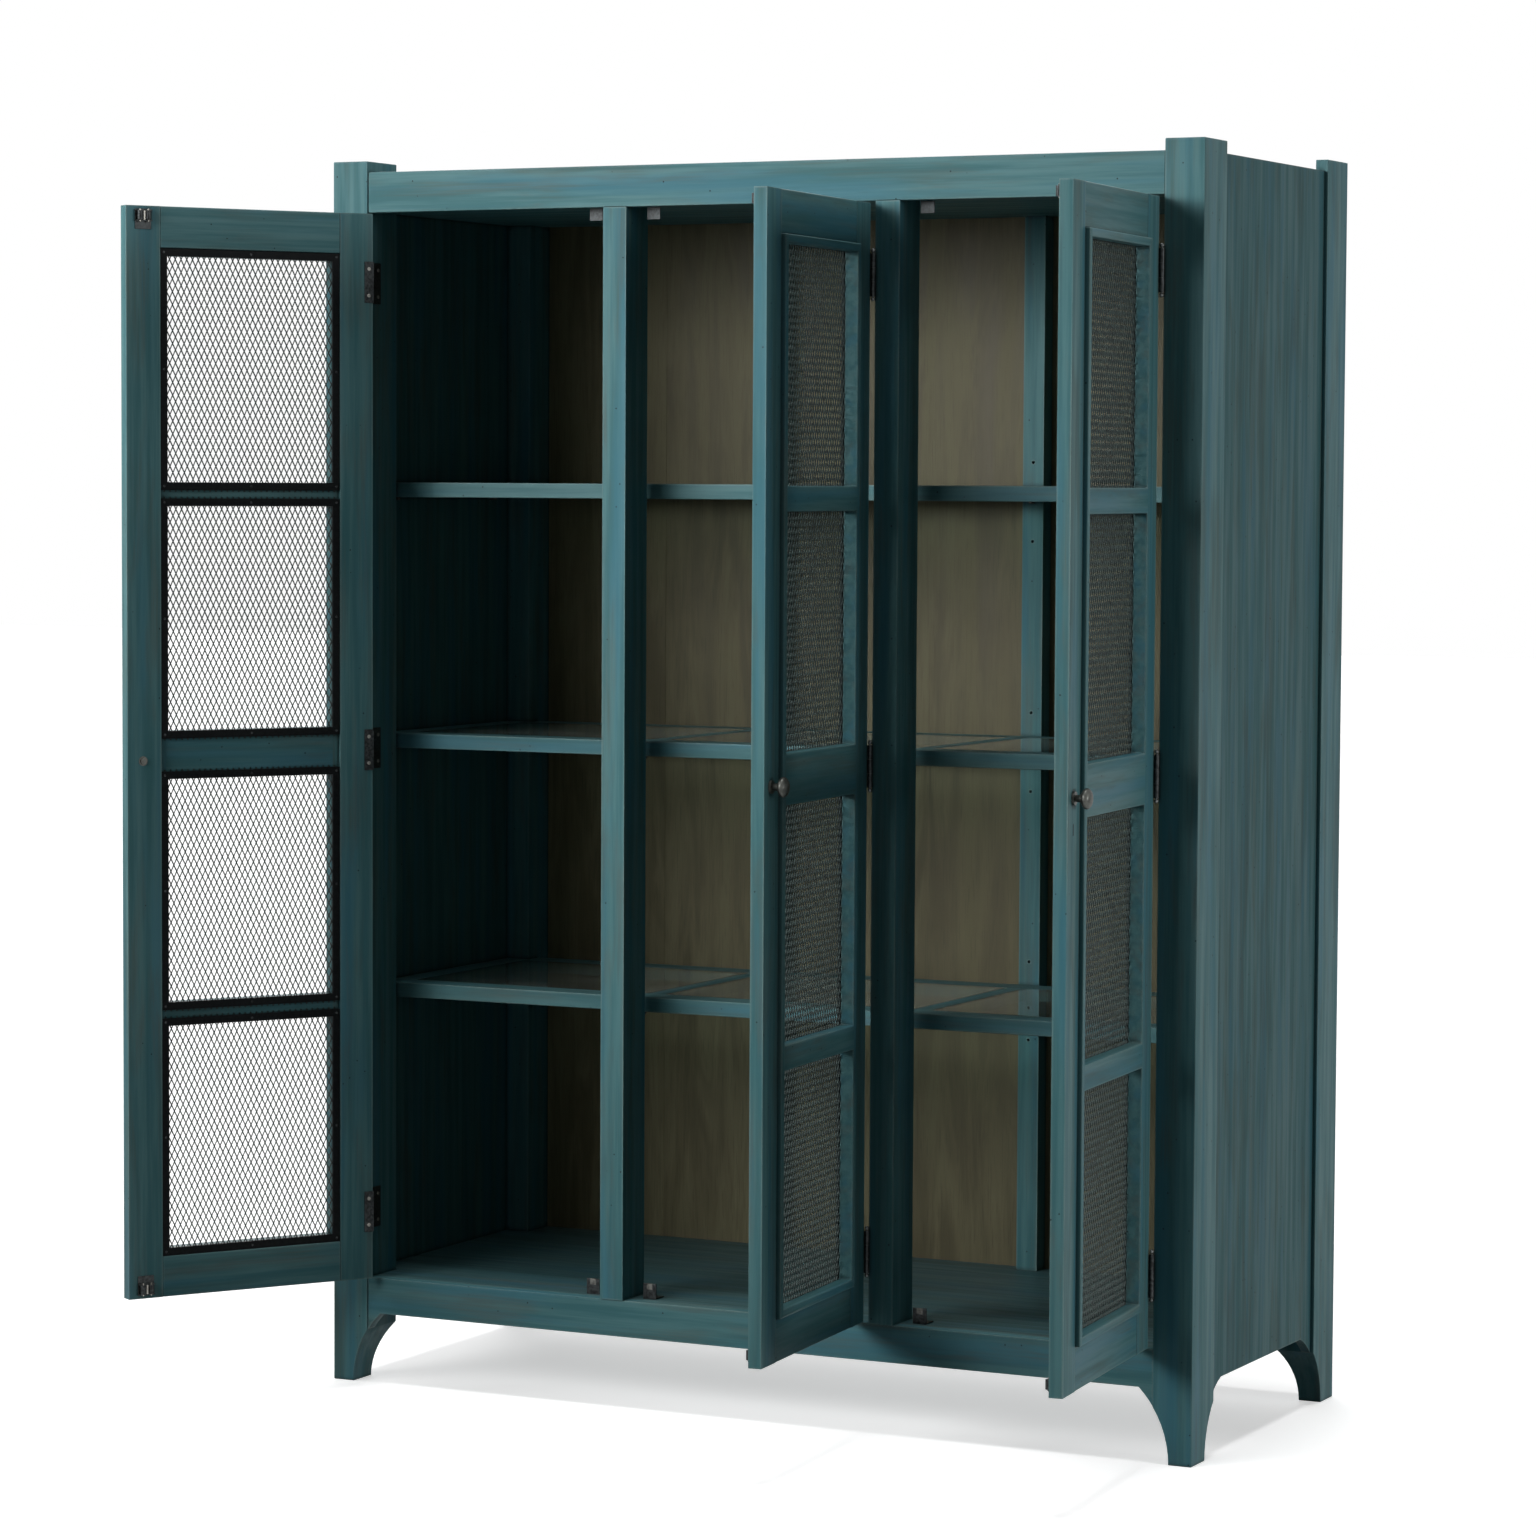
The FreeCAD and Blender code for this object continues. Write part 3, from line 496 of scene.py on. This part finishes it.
def new_material(name):
    """An empty node material with its shader and output."""
    material = bpy.data.materials.new(name)
    material.use_nodes = True
    tree = material.node_tree
    tree.nodes.clear()
    shader = add(tree, "BsdfPrincipled")
    output = add(tree, "OutputMaterial")
    tree.links.new(shader.outputs[0], output.inputs[0])
    return material, tree, shader


PAINT_RELIEF = 0.0006
STAIN_RELIEF = 0.0005
METAL_RELIEF = 0.0002


def dress(tree, shader, group, inputs, relief_depth):
    """Feed a shader's colour, roughness and bump from a group."""
    node = add(tree, "Group", node_tree=group)
    feed(tree, node, inputs)
    tree.links.new(node.outputs["Color"], shader.inputs["Base Color"])
    tree.links.new(node.outputs["Roughness"], shader.inputs["Roughness"])
    relief = add(tree, "Bump", {"Height": node.outputs["Height"], "Strength": 0.35,
                                "Distance": relief_depth})
    tree.links.new(relief.outputs[0], shader.inputs["Normal"])


def grain_vector(tree):
    return add(tree, "Attribute", attribute_name="grain").outputs["Vector"]


def painted(name, painted_shade_setting, gloss):
    """Rubbed teal paint, darkened as painted shade by a factor below one where a setting gives it."""
    material, tree, shader = new_material(name)
    wood = settings("timber")
    # tone is the painted-shade factor; the lit teal paint keeps one
    tone = getattr(wood, painted_shade_setting) if painted_shade_setting else 1.0
    # Corner carries the colour of the painted corner shade
    inputs = {label: opaque(tone * part for part in getattr(wood, label.lower()))
              for label in ("Paint", "Deep", "Blue", "Glaze", "Rubbed", "Corner")}
    dress(tree, shader, group_named("rubbed_paint", rubbed_paint_group),
          {"Grain": grain_vector(tree), **inputs}, PAINT_RELIEF)
    shader.inputs["Specular IOR Level"].default_value = gloss
    return material


def back_stain():
    """Brown stain on the boards of the back."""
    material, tree, shader = new_material("back_stain")
    wood = settings("timber")
    inputs = {"Grain": grain_vector(tree), "Light": opaque(wood.stain_light),
              "Dark": opaque(wood.stain_dark)}
    dress(tree, shader, group_named("stained_wood", stained_wood_group), inputs, STAIN_RELIEF)
    shader.inputs["Specular IOR Level"].default_value = 0.25
    return material


def metal(name, base, worn, grain, metallic, specular):
    """Mottled metal, from its plain and rubbed colours and the fineness of its mottle."""
    material, tree, shader = new_material(name)
    dress(tree, shader, group_named("worn_metal", worn_metal_group),
          {"Base": opaque(base), "Worn": opaque(worn), "Grain Size": grain}, METAL_RELIEF)
    shader.inputs["Metallic"].default_value = metallic
    shader.inputs["Specular IOR Level"].default_value = specular
    return material


def shelf_glass():
    """Faintly dusty glass that lets lamplight through to what lies below it."""
    material, tree, shader = new_material("shelf_glass")
    shader.inputs["Base Color"].default_value = (0.93, 0.97, 0.955, 1)
    shader.inputs["Transmission Weight"].default_value = 1.0
    shader.inputs["IOR"].default_value = 1.5
    place = add(tree, "TexCoord").outputs["Object"]
    ripple = add(tree, "TexNoise", {"Vector": place, "Scale": 9.0, "Detail": 1.0}).outputs["Fac"]
    tree.links.new(span(tree, ripple, 0.2, 0.8, 0.0, 0.02), shader.inputs["Roughness"])
    path = add(tree, "LightPath")
    lets_light_by = math_node(tree, "MAXIMUM", path.outputs["Is Shadow Ray"],
                              path.outputs["Is Diffuse Ray"])
    clear = add(tree, "BsdfTransparent", {"Color": (0.88, 0.93, 0.91, 1)})
    dust = mix_colour(tree, ripple, (0.50, 0.56, 0.50, 1), (0.62, 0.68, 0.62, 1))
    film = add(tree, "BsdfDiffuse", {"Color": dust})
    pane = add(tree, "MixShader", {0: span(tree, ripple, 0.3, 0.7, 0.04, 0.09), 1: shader.outputs[0],
                                   2: film.outputs[0]})
    both = add(tree, "MixShader", {0: lets_light_by, 1: pane.outputs[0], 2: clear.outputs[0]})
    tree.links.new(both.outputs[0], tree.nodes["Material Output"].inputs["Surface"])
    return material


# the setting that darkens a paint as painted shade, and its gloss
PAINTS = {
    "teal_paint": (None, 0.08),
    "panel_paint": ("panel_painted_shade", 0.04),
    "floor_paint": ("floor_painted_shade", 0.5),
    "shelf_paint": ("shelf_painted_shade", 0.14),
}
# plain and rubbed colour, fineness of the mottle, how metallic and how glossy
METALS = {
    "black_strip": ((0.0035, 0.0045, 0.005), (0.012, 0.014, 0.015), 160.0, 0.0, 0.04),
    "bronze_mesh": ((0.0085, 0.014, 0.0135), (0.034, 0.054, 0.050), 220.0, 0.5, 0.3),
    "pewter": ((0.046, 0.048, 0.044), (0.125, 0.130, 0.118), 120.0, 0.9, 0.5),
    "dark_iron": ((0.011, 0.012, 0.0125), (0.075, 0.084, 0.086), 240.0, 0.8, 0.3),
    "screw_steel": ((0.150, 0.145, 0.130), (0.420, 0.410, 0.380), 200.0, 0.9, 0.5),
    "hinge_steel": ((0.050, 0.055, 0.055), (0.260, 0.270, 0.265), 150.0, 0.95, 0.5),
    "bright_steel": ((0.050, 0.050, 0.046), (0.240, 0.240, 0.225), 180.0, 0.95, 0.5),
}
OTHER_FINISHES = {"back_stain": back_stain, "shelf_glass": shelf_glass}
MATERIALS = {}


def material_named(name):
    """A finish, made when it is first asked for."""
    if name not in MATERIALS:
        if name in PAINTS:
            MATERIALS[name] = painted(name, *PAINTS[name])
        elif name in METALS:
            MATERIALS[name] = metal(name, *METALS[name])
        else:
            MATERIALS[name] = OTHER_FINISHES[name]()
    return MATERIALS[name]


# Where the doors hang

class DoorPlace:
    """Turns a door's pieces between shut, where they are square to the frame, and open at rest."""

    def __init__(self, name):
        self.name = name
        self.body = name + "_door"
        joint = next(j for j in frame["record"]["behaviour"]["joints"] if j["child"] == self.body)
        pivot = Matrix.Translation(Vector(joint["pos_m"]))
        turn = Matrix.Rotation(math.radians(-joint["range_deg"][0]), 4, Vector(joint["axis"]))
        self.open = pivot @ turn @ pivot.inverted()

    def shut_copy(self, part, name):
        piece = welded_copy(self.node(part), "%s_door_%s" % (self.name, name))
        piece.data.transform(self.open.inverted())
        return piece

    def shut_box(self, part):
        """Lowest and highest corner of a node with the door shut."""
        back = self.open.inverted()
        points = [back @ vertex.co for vertex in frame["nodes"][self.node(part)].data.vertices]
        return [Vector(pick(point[axis] for point in points) for axis in range(3)) for pick in (min, max)]

    def node(self, part):
        return "%s_door_%s" % (self.name, part)

    def hang(self, piece, slot, material, *parts):
        piece.data.transform(self.open)
        finish_piece(piece, self.body, slot, material_named(material), *[self.node(part) for part in parts])


def slot_of(node):
    return next(part["material_slot"] for part in frame["record"]["subparts"] if part["node"] == node)


# Operators, one for each group of pieces

class PIESAFE_OT_carcass(Operator):
    """Ease and paint the posts, rails, uprights, panels and boards"""
    bl_idname = "pie_safe.carcass"
    bl_label = "Carcass"

    painted = ("post_front_left", "post_front_right", "post_rear_left", "post_rear_right", "top_rail",
               "bottom_rail", "mullion_left", "mullion_right", "side_panel_left", "side_panel_right",
               "floor_board", "ceiling_board", "top_board", "back_rails", "rear_divider_left",
               "rear_divider_right")
    # the side panels and the floor board take paint darkened as painted shade
    finishes = {"side_panel_left": "panel_paint", "side_panel_right": "panel_paint",
                "floor_board": "floor_paint"}

    def execute(self, context):
        for node in self.painted:
            piece = welded_copy(node, node + "_timber")
            ease(piece, settings("timber").round_edge)
            lay_grain(piece)
            finish = self.finishes.get(node, "teal_paint")
            finish_piece(piece, "cabinet", slot_of(node), material_named(finish), node)
        back = welded_copy("back_boards", "back_boards_timber")
        part_boards(back)
        ease(back, settings("timber").board_joint)
        lay_grain(back)
        finish_piece(back, "cabinet", slot_of("back_boards"), material_named("back_stain"), "back_boards")
        return {"FINISHED"}


class PIESAFE_OT_shelves(Operator):
    """Ease and paint the shelf frames, and give the panes and pins their finish"""
    bl_idname = "pie_safe.shelves"
    bl_label = "Shelves"

    # less than the distance between two crossbars of a frame, which numbers them
    bar_step = 0.2

    def execute(self, context):
        for key in SHELVES:
            node = "shelf_frame_" + key
            pane = "shelf_glass_" + key
            low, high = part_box(pane)
            piece = welded_copy(node, node + "_timber")
            ease(piece, settings("timber").round_edge)
            slice_piece(piece, ((Y, low[Y]), (Y, high[Y])))

            def board_of(centre, low=low, high=high):
                if low[Y] < centre[Y] < high[Y]:
                    return Y, 2 + round(centre[X] / self.bar_step)
                return X, 0 if centre[Y] < low[Y] else 1

            lay_grain(piece, board_of)
            # the shelf frames take paint darkened as painted shade
            finish_piece(piece, "cabinet", slot_of(node), material_named("shelf_paint"), node)
            glass = welded_copy(pane, pane + "_sheets")
            ease(glass, settings("hardware").glass_edge)
            finish_piece(glass, "cabinet", slot_of(pane), material_named("shelf_glass"), pane)
        pins = welded_copy("shelf_pins", "shelf_pins_steel")
        ease(pins, settings("hardware").iron_edge)
        finish_piece(pins, "cabinet", slot_of("shelf_pins"), material_named("bright_steel"), "shelf_pins")
        return {"FINISHED"}


class PIESAFE_OT_door_frames(Operator):
    """Ease and paint the stiles, rails and raised sashes of the doors"""
    bl_idname = "pie_safe.door_frames"
    bl_label = "Door Frames"

    def execute(self, context):
        for place in map(DoorPlace, DOORS):
            for part in ("stiles", "rails"):
                piece = place.shut_copy(part, part + "_timber")
                ease(piece, settings("timber").round_edge)
                lay_grain(piece)
                place.hang(piece, slot_of(place.node(part)), "teal_paint", part)
            self.sash(place)
            strips = place.shut_copy("keepers", "mesh_strips")
            ease(strips, settings("hardware").strip_edge)
            place.hang(strips, slot_of(place.node("keepers")), "black_strip", "keepers")
        return {"FINISHED"}

    def sash(self, place):
        """The raised inner frame, scored into bars so that the grain turns at each joint."""
        piece = place.shut_copy("sash", "sash_timber")
        ease(piece, settings("timber").round_edge)
        panes = solid_boxes(place.shut_copy("mesh", "measure"))
        overlap = self.overlap(piece, panes[0][0][X])
        left = min(low[X] for low, _ in panes) + overlap
        right = max(high[X] for _, high in panes) - overlap
        slice_piece(piece, ((X, left), (X, right)))
        centres = sorted((low[Z] + high[Z]) / 2 for low, high in panes)

        def board_of(centre):
            if left < centre[X] < right:
                return X, 2 + sum(centre[Z] > level for level in centres)
            return Z, 0 if centre[X] < left else 1

        lay_grain(piece, board_of)
        place.hang(piece, slot_of(place.node("sash")), "teal_paint", "sash")

    @staticmethod
    def overlap(sash, pane_side):
        """How far the mesh panes reach behind the sash bars."""
        return min(v.co[X] for v in sash.data.vertices if v.co[X] > pane_side) - pane_side


class PIESAFE_OT_mesh_panes(Operator):
    """Weave the expanded metal of the door panes"""
    bl_idname = "pie_safe.mesh_panes"
    bl_label = "Mesh Panes"

    def execute(self, context):
        for place in map(DoorPlace, DOORS):
            panes = solid_boxes(place.shut_copy("mesh", "measure"))
            first = self.expanded_metal(*panes[0])
            pieces = [first]
            for low, _ in panes[1:]:
                copy = first.copy()
                copy.data = first.data.copy()
                bpy.context.collection.objects.link(copy)
                copy.data.transform(Matrix.Translation(low - panes[0][0]))
                pieces.append(copy)
            piece = joined(pieces, place.body + "_expanded_metal")
            place.hang(piece, slot_of(place.node("mesh")), "bronze_mesh", "mesh")
        return {"FINISHED"}

    def expanded_metal(self, low, high):
        """A sheet of slit and stretched metal that fills a pane, its strands leaning out of the sheet."""
        pane = settings("pane")
        width, height = pane.diamond_width, pane.diamond_height
        columns = int((high[X] - low[X]) / width)
        rows = int((high[Z] - low[Z]) / height)
        middle = (low + high) / 2
        corner = middle - Vector(((columns - 1) * width / 2, 0, (rows - 1) * height / 2))
        grids = []
        for shift, wide, tall in ((Vector(), columns, rows),
                                  (Vector((-width / 2, 0, -height / 2)), columns + 1, rows + 1)):
            grid = self.diamond(width, height, pane.strand, pane.twist)
            modify(grid, "ARRAY", count=wide, use_relative_offset=False, use_constant_offset=True,
                   constant_offset_displace=(width, 0, 0))
            modify(grid, "ARRAY", count=tall, use_relative_offset=False, use_constant_offset=True,
                   constant_offset_displace=(0, 0, height))
            grid.data.transform(Matrix.Translation(corner + shift))
            grids.append(grid)
        sheet = joined(grids, "expanded_metal")
        with editing(sheet):
            bpy.ops.mesh.remove_doubles(threshold=pane.strand / 20)
            bpy.ops.mesh.normals_make_consistent(inside=False)
        modify(sheet, "SOLIDIFY", thickness=pane.sheet, offset=0.0)
        return sheet

    @staticmethod
    def diamond(width, height, strand, twist):
        """One open diamond of half strands in the XZ plane."""
        bpy.ops.object.select_all(action="DESELECT")
        bpy.ops.mesh.primitive_circle_add(vertices=4, radius=1, fill_type="NGON",
                                          rotation=(math.pi / 2, 0, 0))
        piece = bpy.context.active_object
        bpy.ops.object.transform_apply(location=False, rotation=True, scale=False)
        with editing(piece):
            bpy.ops.transform.resize(value=(width / 2, 1, height / 2))
            bpy.ops.mesh.inset(thickness=strand / 2)
            bpy.ops.mesh.delete(type="FACE")
        for vertex in piece.data.vertices:
            reach = abs(vertex.co.x) / (width / 2) + abs(vertex.co.z) / (height / 2)
            if reach < 0.999 and abs(vertex.co.x) < width / 100:
                vertex.co.y -= math.copysign(twist, vertex.co.z)
        return piece


def block(centre, size):
    """A block with square corners, in its place."""
    bpy.ops.object.select_all(action="DESELECT")
    bpy.ops.mesh.primitive_cube_add(size=1, location=centre)
    piece = bpy.context.active_object
    piece.scale = size
    bpy.ops.object.transform_apply(location=True, rotation=False, scale=True)
    return piece


def barrel(centre, radius, length):
    """An upright round bar."""
    bpy.ops.object.select_all(action="DESELECT")
    bpy.ops.mesh.primitive_cylinder_add(vertices=20, radius=radius, depth=length, location=centre)
    bpy.ops.object.transform_apply(location=True, rotation=False, scale=False)
    return bpy.context.active_object


def middle_level(boxes):
    """The mean height of some boxes."""
    return sum(low[Z] + high[Z] for low, high in boxes) / (2 * len(boxes))


def split_small(piece, limit, name):
    """Take the solids of a piece that are smaller than a limit off as a piece of their own."""
    mesh = piece.data
    small = set()
    for faces in loose_parts(mesh):
        low, high = extent(mesh, faces)
        if max(high - low) < limit:
            small.update(faces)
    for face in mesh.polygons:
        face.select = face.index in small
    activate(piece)
    bpy.context.tool_settings.mesh_select_mode = (False, False, True)
    bpy.ops.object.mode_set(mode="EDIT")
    bpy.ops.mesh.separate(type="SELECTED")
    bpy.ops.object.mode_set(mode="OBJECT")
    taken = next(other for other in bpy.context.selected_objects if other is not piece)
    taken.name = name
    taken.data.name = name
    return taken


class PIESAFE_OT_hardware(Operator):
    """Finish the hinges, screws, catches, strikes, nails and knobs"""
    bl_idname = "pie_safe.hardware"
    bl_label = "Hardware"

    fixed = {"left_jamb_leaves": "dark_iron", "middle_jamb_leaves": "dark_iron",
             "right_jamb_leaves": "dark_iron", "jamb_leaf_screws": "screw_steel",
             "catch_strikes": "dark_iron", "strike_screws": "screw_steel"}
    swinging = {"hinge_pins": "hinge_steel", "nails": "dark_iron", "knob": "pewter"}

    def execute(self, context):
        edge = settings("hardware").iron_edge
        for node, finish in self.fixed.items():
            piece = welded_copy(node, node + "_iron")
            ease(piece, edge)
            finish_piece(piece, "cabinet", slot_of(node), material_named(finish), node)
        for place in map(DoorPlace, DOORS):
            for part, finish in self.swinging.items():
                piece = place.shut_copy(part, part + "_iron")
                ease(piece, edge)
                place.hang(piece, slot_of(place.node(part)), finish, part)
            leaves = place.shut_copy("hinge_leaves", "hinge_leaves_iron")
            screws = split_small(leaves, settings("hardware").screw_limit, place.body + "_hinge_screws")
            for piece, finish in ((leaves, "dark_iron"), (screws, "screw_steel")):
                ease(piece, edge)
                place.hang(piece, slot_of(place.node("hinge_leaves")), finish, "hinge_leaves")
            self.catches(place)
        self.keyhole(DoorPlace("right"))
        self.strike_tabs()
        return {"FINISHED"}

    @staticmethod
    def catches(place):
        """Roller catches: a plate with two lips, two rollers between them, and their pins and tongue."""
        tools = settings("hardware")
        lip, radius, length = tools.catch_lip, tools.roller_radius, tools.roller_length
        boxes = solid_boxes(place.shut_copy("catches", "measure"))
        level = middle_level(boxes)
        dark, bright = [], []
        for low, high in boxes:
            wide, _, tall = high - low
            x, _, plate_z = (low + high) / 2
            y = high[Y] - radius
            end, inward = (low[Z], 1) if low[Z] < level else (high[Z], -1)
            z = end + inward * (length / 2 + lip * 2)
            dark.append(block((x, low[Y] + lip / 2, plate_z), (wide, lip, tall)))
            for side in (-1, 1):
                lip_z = z + side * (length + lip) / 2
                dark.append(block((x, (low[Y] + y) / 2, lip_z), (wide, y - low[Y], lip)))
                axle = (x + side * wide / 4, y, z)
                dark.append(barrel(axle, radius, length))
                bright.append(barrel(axle, radius / 4, length + 4 * lip))
            bright.append(block((x, y, z), (wide / 9, lip, length)))
        finishes = ((dark, "catch_rollers", "dark_iron"), (bright, "catch_pins", "screw_steel"))
        for pieces, name, finish in finishes:
            piece = joined(pieces, "%s_%s" % (place.body, name))
            ease(piece, tools.iron_edge)
            place.hang(piece, slot_of(place.node("catches")), finish, "catches")

    @staticmethod
    def keyhole(place):
        """The small dark slot below the knob of the right door: a thin black plate, painted shade standing
        in for the hole.
        """
        tools = settings("hardware")
        low, high = place.shut_box("knob")
        face = place.shut_box("stiles")[0][Y]
        centre = ((low[X] + high[X]) / 2, face, (low[Z] + high[Z]) / 2 - tools.keyhole_drop)
        piece = block(centre, (tools.keyhole_width, tools.iron_edge, tools.keyhole_height))
        piece.name = place.body + "_keyhole"
        modify(piece, "BEVEL", width=tools.keyhole_width * 0.45, segments=4, affect="EDGES",
               limit_method="ANGLE", angle_limit=REAL_EDGE)
        smooth(piece)
        # the black plate is painted shade for the keyhole, not an opening
        place.hang(piece, slot_of(place.node("nails")), "black_strip")

    @staticmethod
    def strike_tabs():
        """Bright tongues on the strikes that stand on the floor board."""
        tools = settings("hardware")
        boxes = solid_boxes(welded_copy("catch_strikes", "measure"))
        level = middle_level(boxes)
        tabs = [block(((low[X] + high[X]) / 2, low[Y] + tools.tab_depth / 2 - tools.iron_edge / 2,
                       high[Z] - tools.tab_width / 2),
                      (tools.tab_width, tools.tab_depth, tools.tab_width))
                for low, high in boxes if high[Z] < level]
        piece = joined(tabs, "strike_tabs_steel")
        ease(piece, tools.iron_edge)
        node = "catch_strikes"
        finish_piece(piece, "cabinet", slot_of(node), material_named("bright_steel"), node)


# name, degrees round to the right of the front, degrees above the floor, degrees of spread, strength
LAMPS = (("fill", 89, 4, 12, 1.12),
         ("top", 0, 88, 14, 1.7),
         ("rear", -150, 25, 40, 1.3))
# a bank of gridded softboxes side by side, which makes one broad key light from the left front
SOFTBOXES = {"azimuths": (-17, -33, -49), "distance": 4.6, "height": 2.5, "target": (0.35, -0.3, 1.45),
             "size": 1.6, "beam": 60, "power": 11.8}
# the floor's own glow and its colour, to the eye and as bounced light, and the light of the room
FLOOR_GLOW = 0.52
FLOOR_SEEN = 0.84
FLOOR_BOUNCE = 0.12
ROOM_LIGHT = 0.06


def seen_plainly(tree):
    """One for rays from the camera, also by way of metal and glass."""
    path = add(tree, "LightPath").outputs
    by_way = math_node(tree, "MAXIMUM", path["Is Glossy Ray"], path["Is Transmission Ray"])
    return math_node(tree, "MAXIMUM", path["Is Camera Ray"], by_way)


class PIESAFE_OT_stage(Operator):
    """Lay the pale floor, light the studio and place the camera"""
    bl_idname = "pie_safe.stage"
    bl_label = "Stage"

    def execute(self, context):
        self.floor()
        self.world()
        for lamp in LAMPS:
            self.lamp(*lamp)
        self.softboxes(**SOFTBOXES)
        self.camera()
        context.scene.view_settings.view_transform = "Standard"
        return {"FINISHED"}

    @staticmethod
    def floor():
        bpy.ops.object.select_all(action="DESELECT")
        bpy.ops.mesh.primitive_plane_add(size=60)
        floor = bpy.context.active_object
        floor.name = "floor"
        material = bpy.data.materials.new("pale_floor")
        material.use_nodes = True
        tree = material.node_tree
        tree.nodes.clear()
        seen = seen_plainly(tree)
        matte = add(tree, "BsdfDiffuse", {"Color": span(tree, seen, 0.0, 1.0, FLOOR_BOUNCE, FLOOR_SEEN)})
        strength = math_node(tree, "MULTIPLY", seen, FLOOR_GLOW)
        glow = add(tree, "Emission", {"Color": (1, 1, 1, 1), "Strength": strength})
        both = add(tree, "AddShader", {0: matte.outputs[0], 1: glow.outputs[0]})
        tree.links.new(both.outputs[0], add(tree, "OutputMaterial").inputs[0])
        floor.data.materials.append(material)

    @staticmethod
    def world():
        world = bpy.data.worlds.new("studio")
        bpy.context.scene.world = world
        world.use_nodes = True
        tree = world.node_tree
        tree.nodes.clear()
        strength = span(tree, seen_plainly(tree), 0.0, 1.0, ROOM_LIGHT, 1.0)
        glow = add(tree, "Background", {"Color": (1, 1, 1, 1), "Strength": strength})
        tree.links.new(glow.outputs[0], add(tree, "OutputWorld").inputs[0])

    @staticmethod
    def lamp(name, azimuth, height, spread, strength):
        """A distant soft light, placed by its angle round from the front, its height and its spread."""
        bpy.ops.object.light_add(type="SUN")
        lamp = bpy.context.active_object
        lamp.name = name + "_light"
        lamp.data.energy = strength
        lamp.data.angle = math.radians(spread)
        lamp.rotation_euler = (math.radians(90 - height), 0, math.radians(azimuth))

    @staticmethod
    def softboxes(azimuths, distance, height, target, size, beam, power):
        """Square lights with grids on them, so that they fall off towards the floor."""
        for azimuth in azimuths:
            turn = math.radians(azimuth)
            place = Vector((distance * math.sin(turn), -distance * math.cos(turn), height))
            bpy.ops.object.light_add(type="AREA", location=place)
            lamp = bpy.context.active_object
            lamp.name = "softbox"
            lamp.data.size = size
            lamp.data.spread = math.radians(beam)
            lamp.data.energy = power
            lamp.rotation_euler = (Vector(target) - place).to_track_quat("-Z", "Y").to_euler()

    @staticmethod
    def camera():
        stage = settings("stage")
        bpy.ops.object.camera_add()
        camera = bpy.context.active_object
        camera.name = "photo_camera"
        camera.data.sensor_width = 36
        camera.data.sensor_fit = "HORIZONTAL"
        camera.data.lens = stage.lens
        camera.data.clip_end = 100
        turn = (Matrix.Rotation(stage.azimuth, 4, "Z") @ Matrix.Rotation(math.pi / 2 - stage.tilt, 4, "X")
                @ Matrix.Rotation(stage.roll, 4, "Z"))
        camera.matrix_world = Matrix.Translation(Vector(stage.place)) @ turn
        bpy.context.scene.camera = camera


OPERATORS = (PIESAFE_OT_carcass, PIESAFE_OT_shelves, PIESAFE_OT_door_frames, PIESAFE_OT_mesh_panes,
             PIESAFE_OT_hardware, PIESAFE_OT_stage)


class PIESAFE_PT_panel(Panel):
    """Lists the pieces of the pie safe and their settings"""
    bl_idname = "PIESAFE_PT_panel"
    bl_label = "Pie Safe"
    bl_space_type = "VIEW_3D"
    bl_region_type = "UI"
    bl_category = "Pie Safe"

    def draw(self, context):
        for operator in OPERATORS:
            self.layout.operator(operator.bl_idname)
        for group, kind in SETTINGS:
            box = self.layout.box()
            box.label(text=kind.__doc__)
            for name in kind.__annotations__:
                box.prop(settings(group), name)


CLASSES = tuple(kind for _, kind in SETTINGS) + OPERATORS + (PIESAFE_PT_panel,)


def register():
    for cls in CLASSES:
        bpy.utils.register_class(cls)
    for group, kind in SETTINGS:
        setattr(bpy.types.Scene, "pie_safe_" + group, PointerProperty(type=kind))


def unregister():
    for group, _ in SETTINGS:
        delattr(bpy.types.Scene, "pie_safe_" + group)
    for cls in reversed(CLASSES):
        bpy.utils.unregister_class(cls)


def main():
    register()
    bpy.ops.pie_safe.carcass()
    bpy.ops.pie_safe.shelves()
    bpy.ops.pie_safe.door_frames()
    bpy.ops.pie_safe.mesh_panes()
    bpy.ops.pie_safe.hardware()
    bpy.ops.pie_safe.stage()


if __name__ == "__main__":
    main()
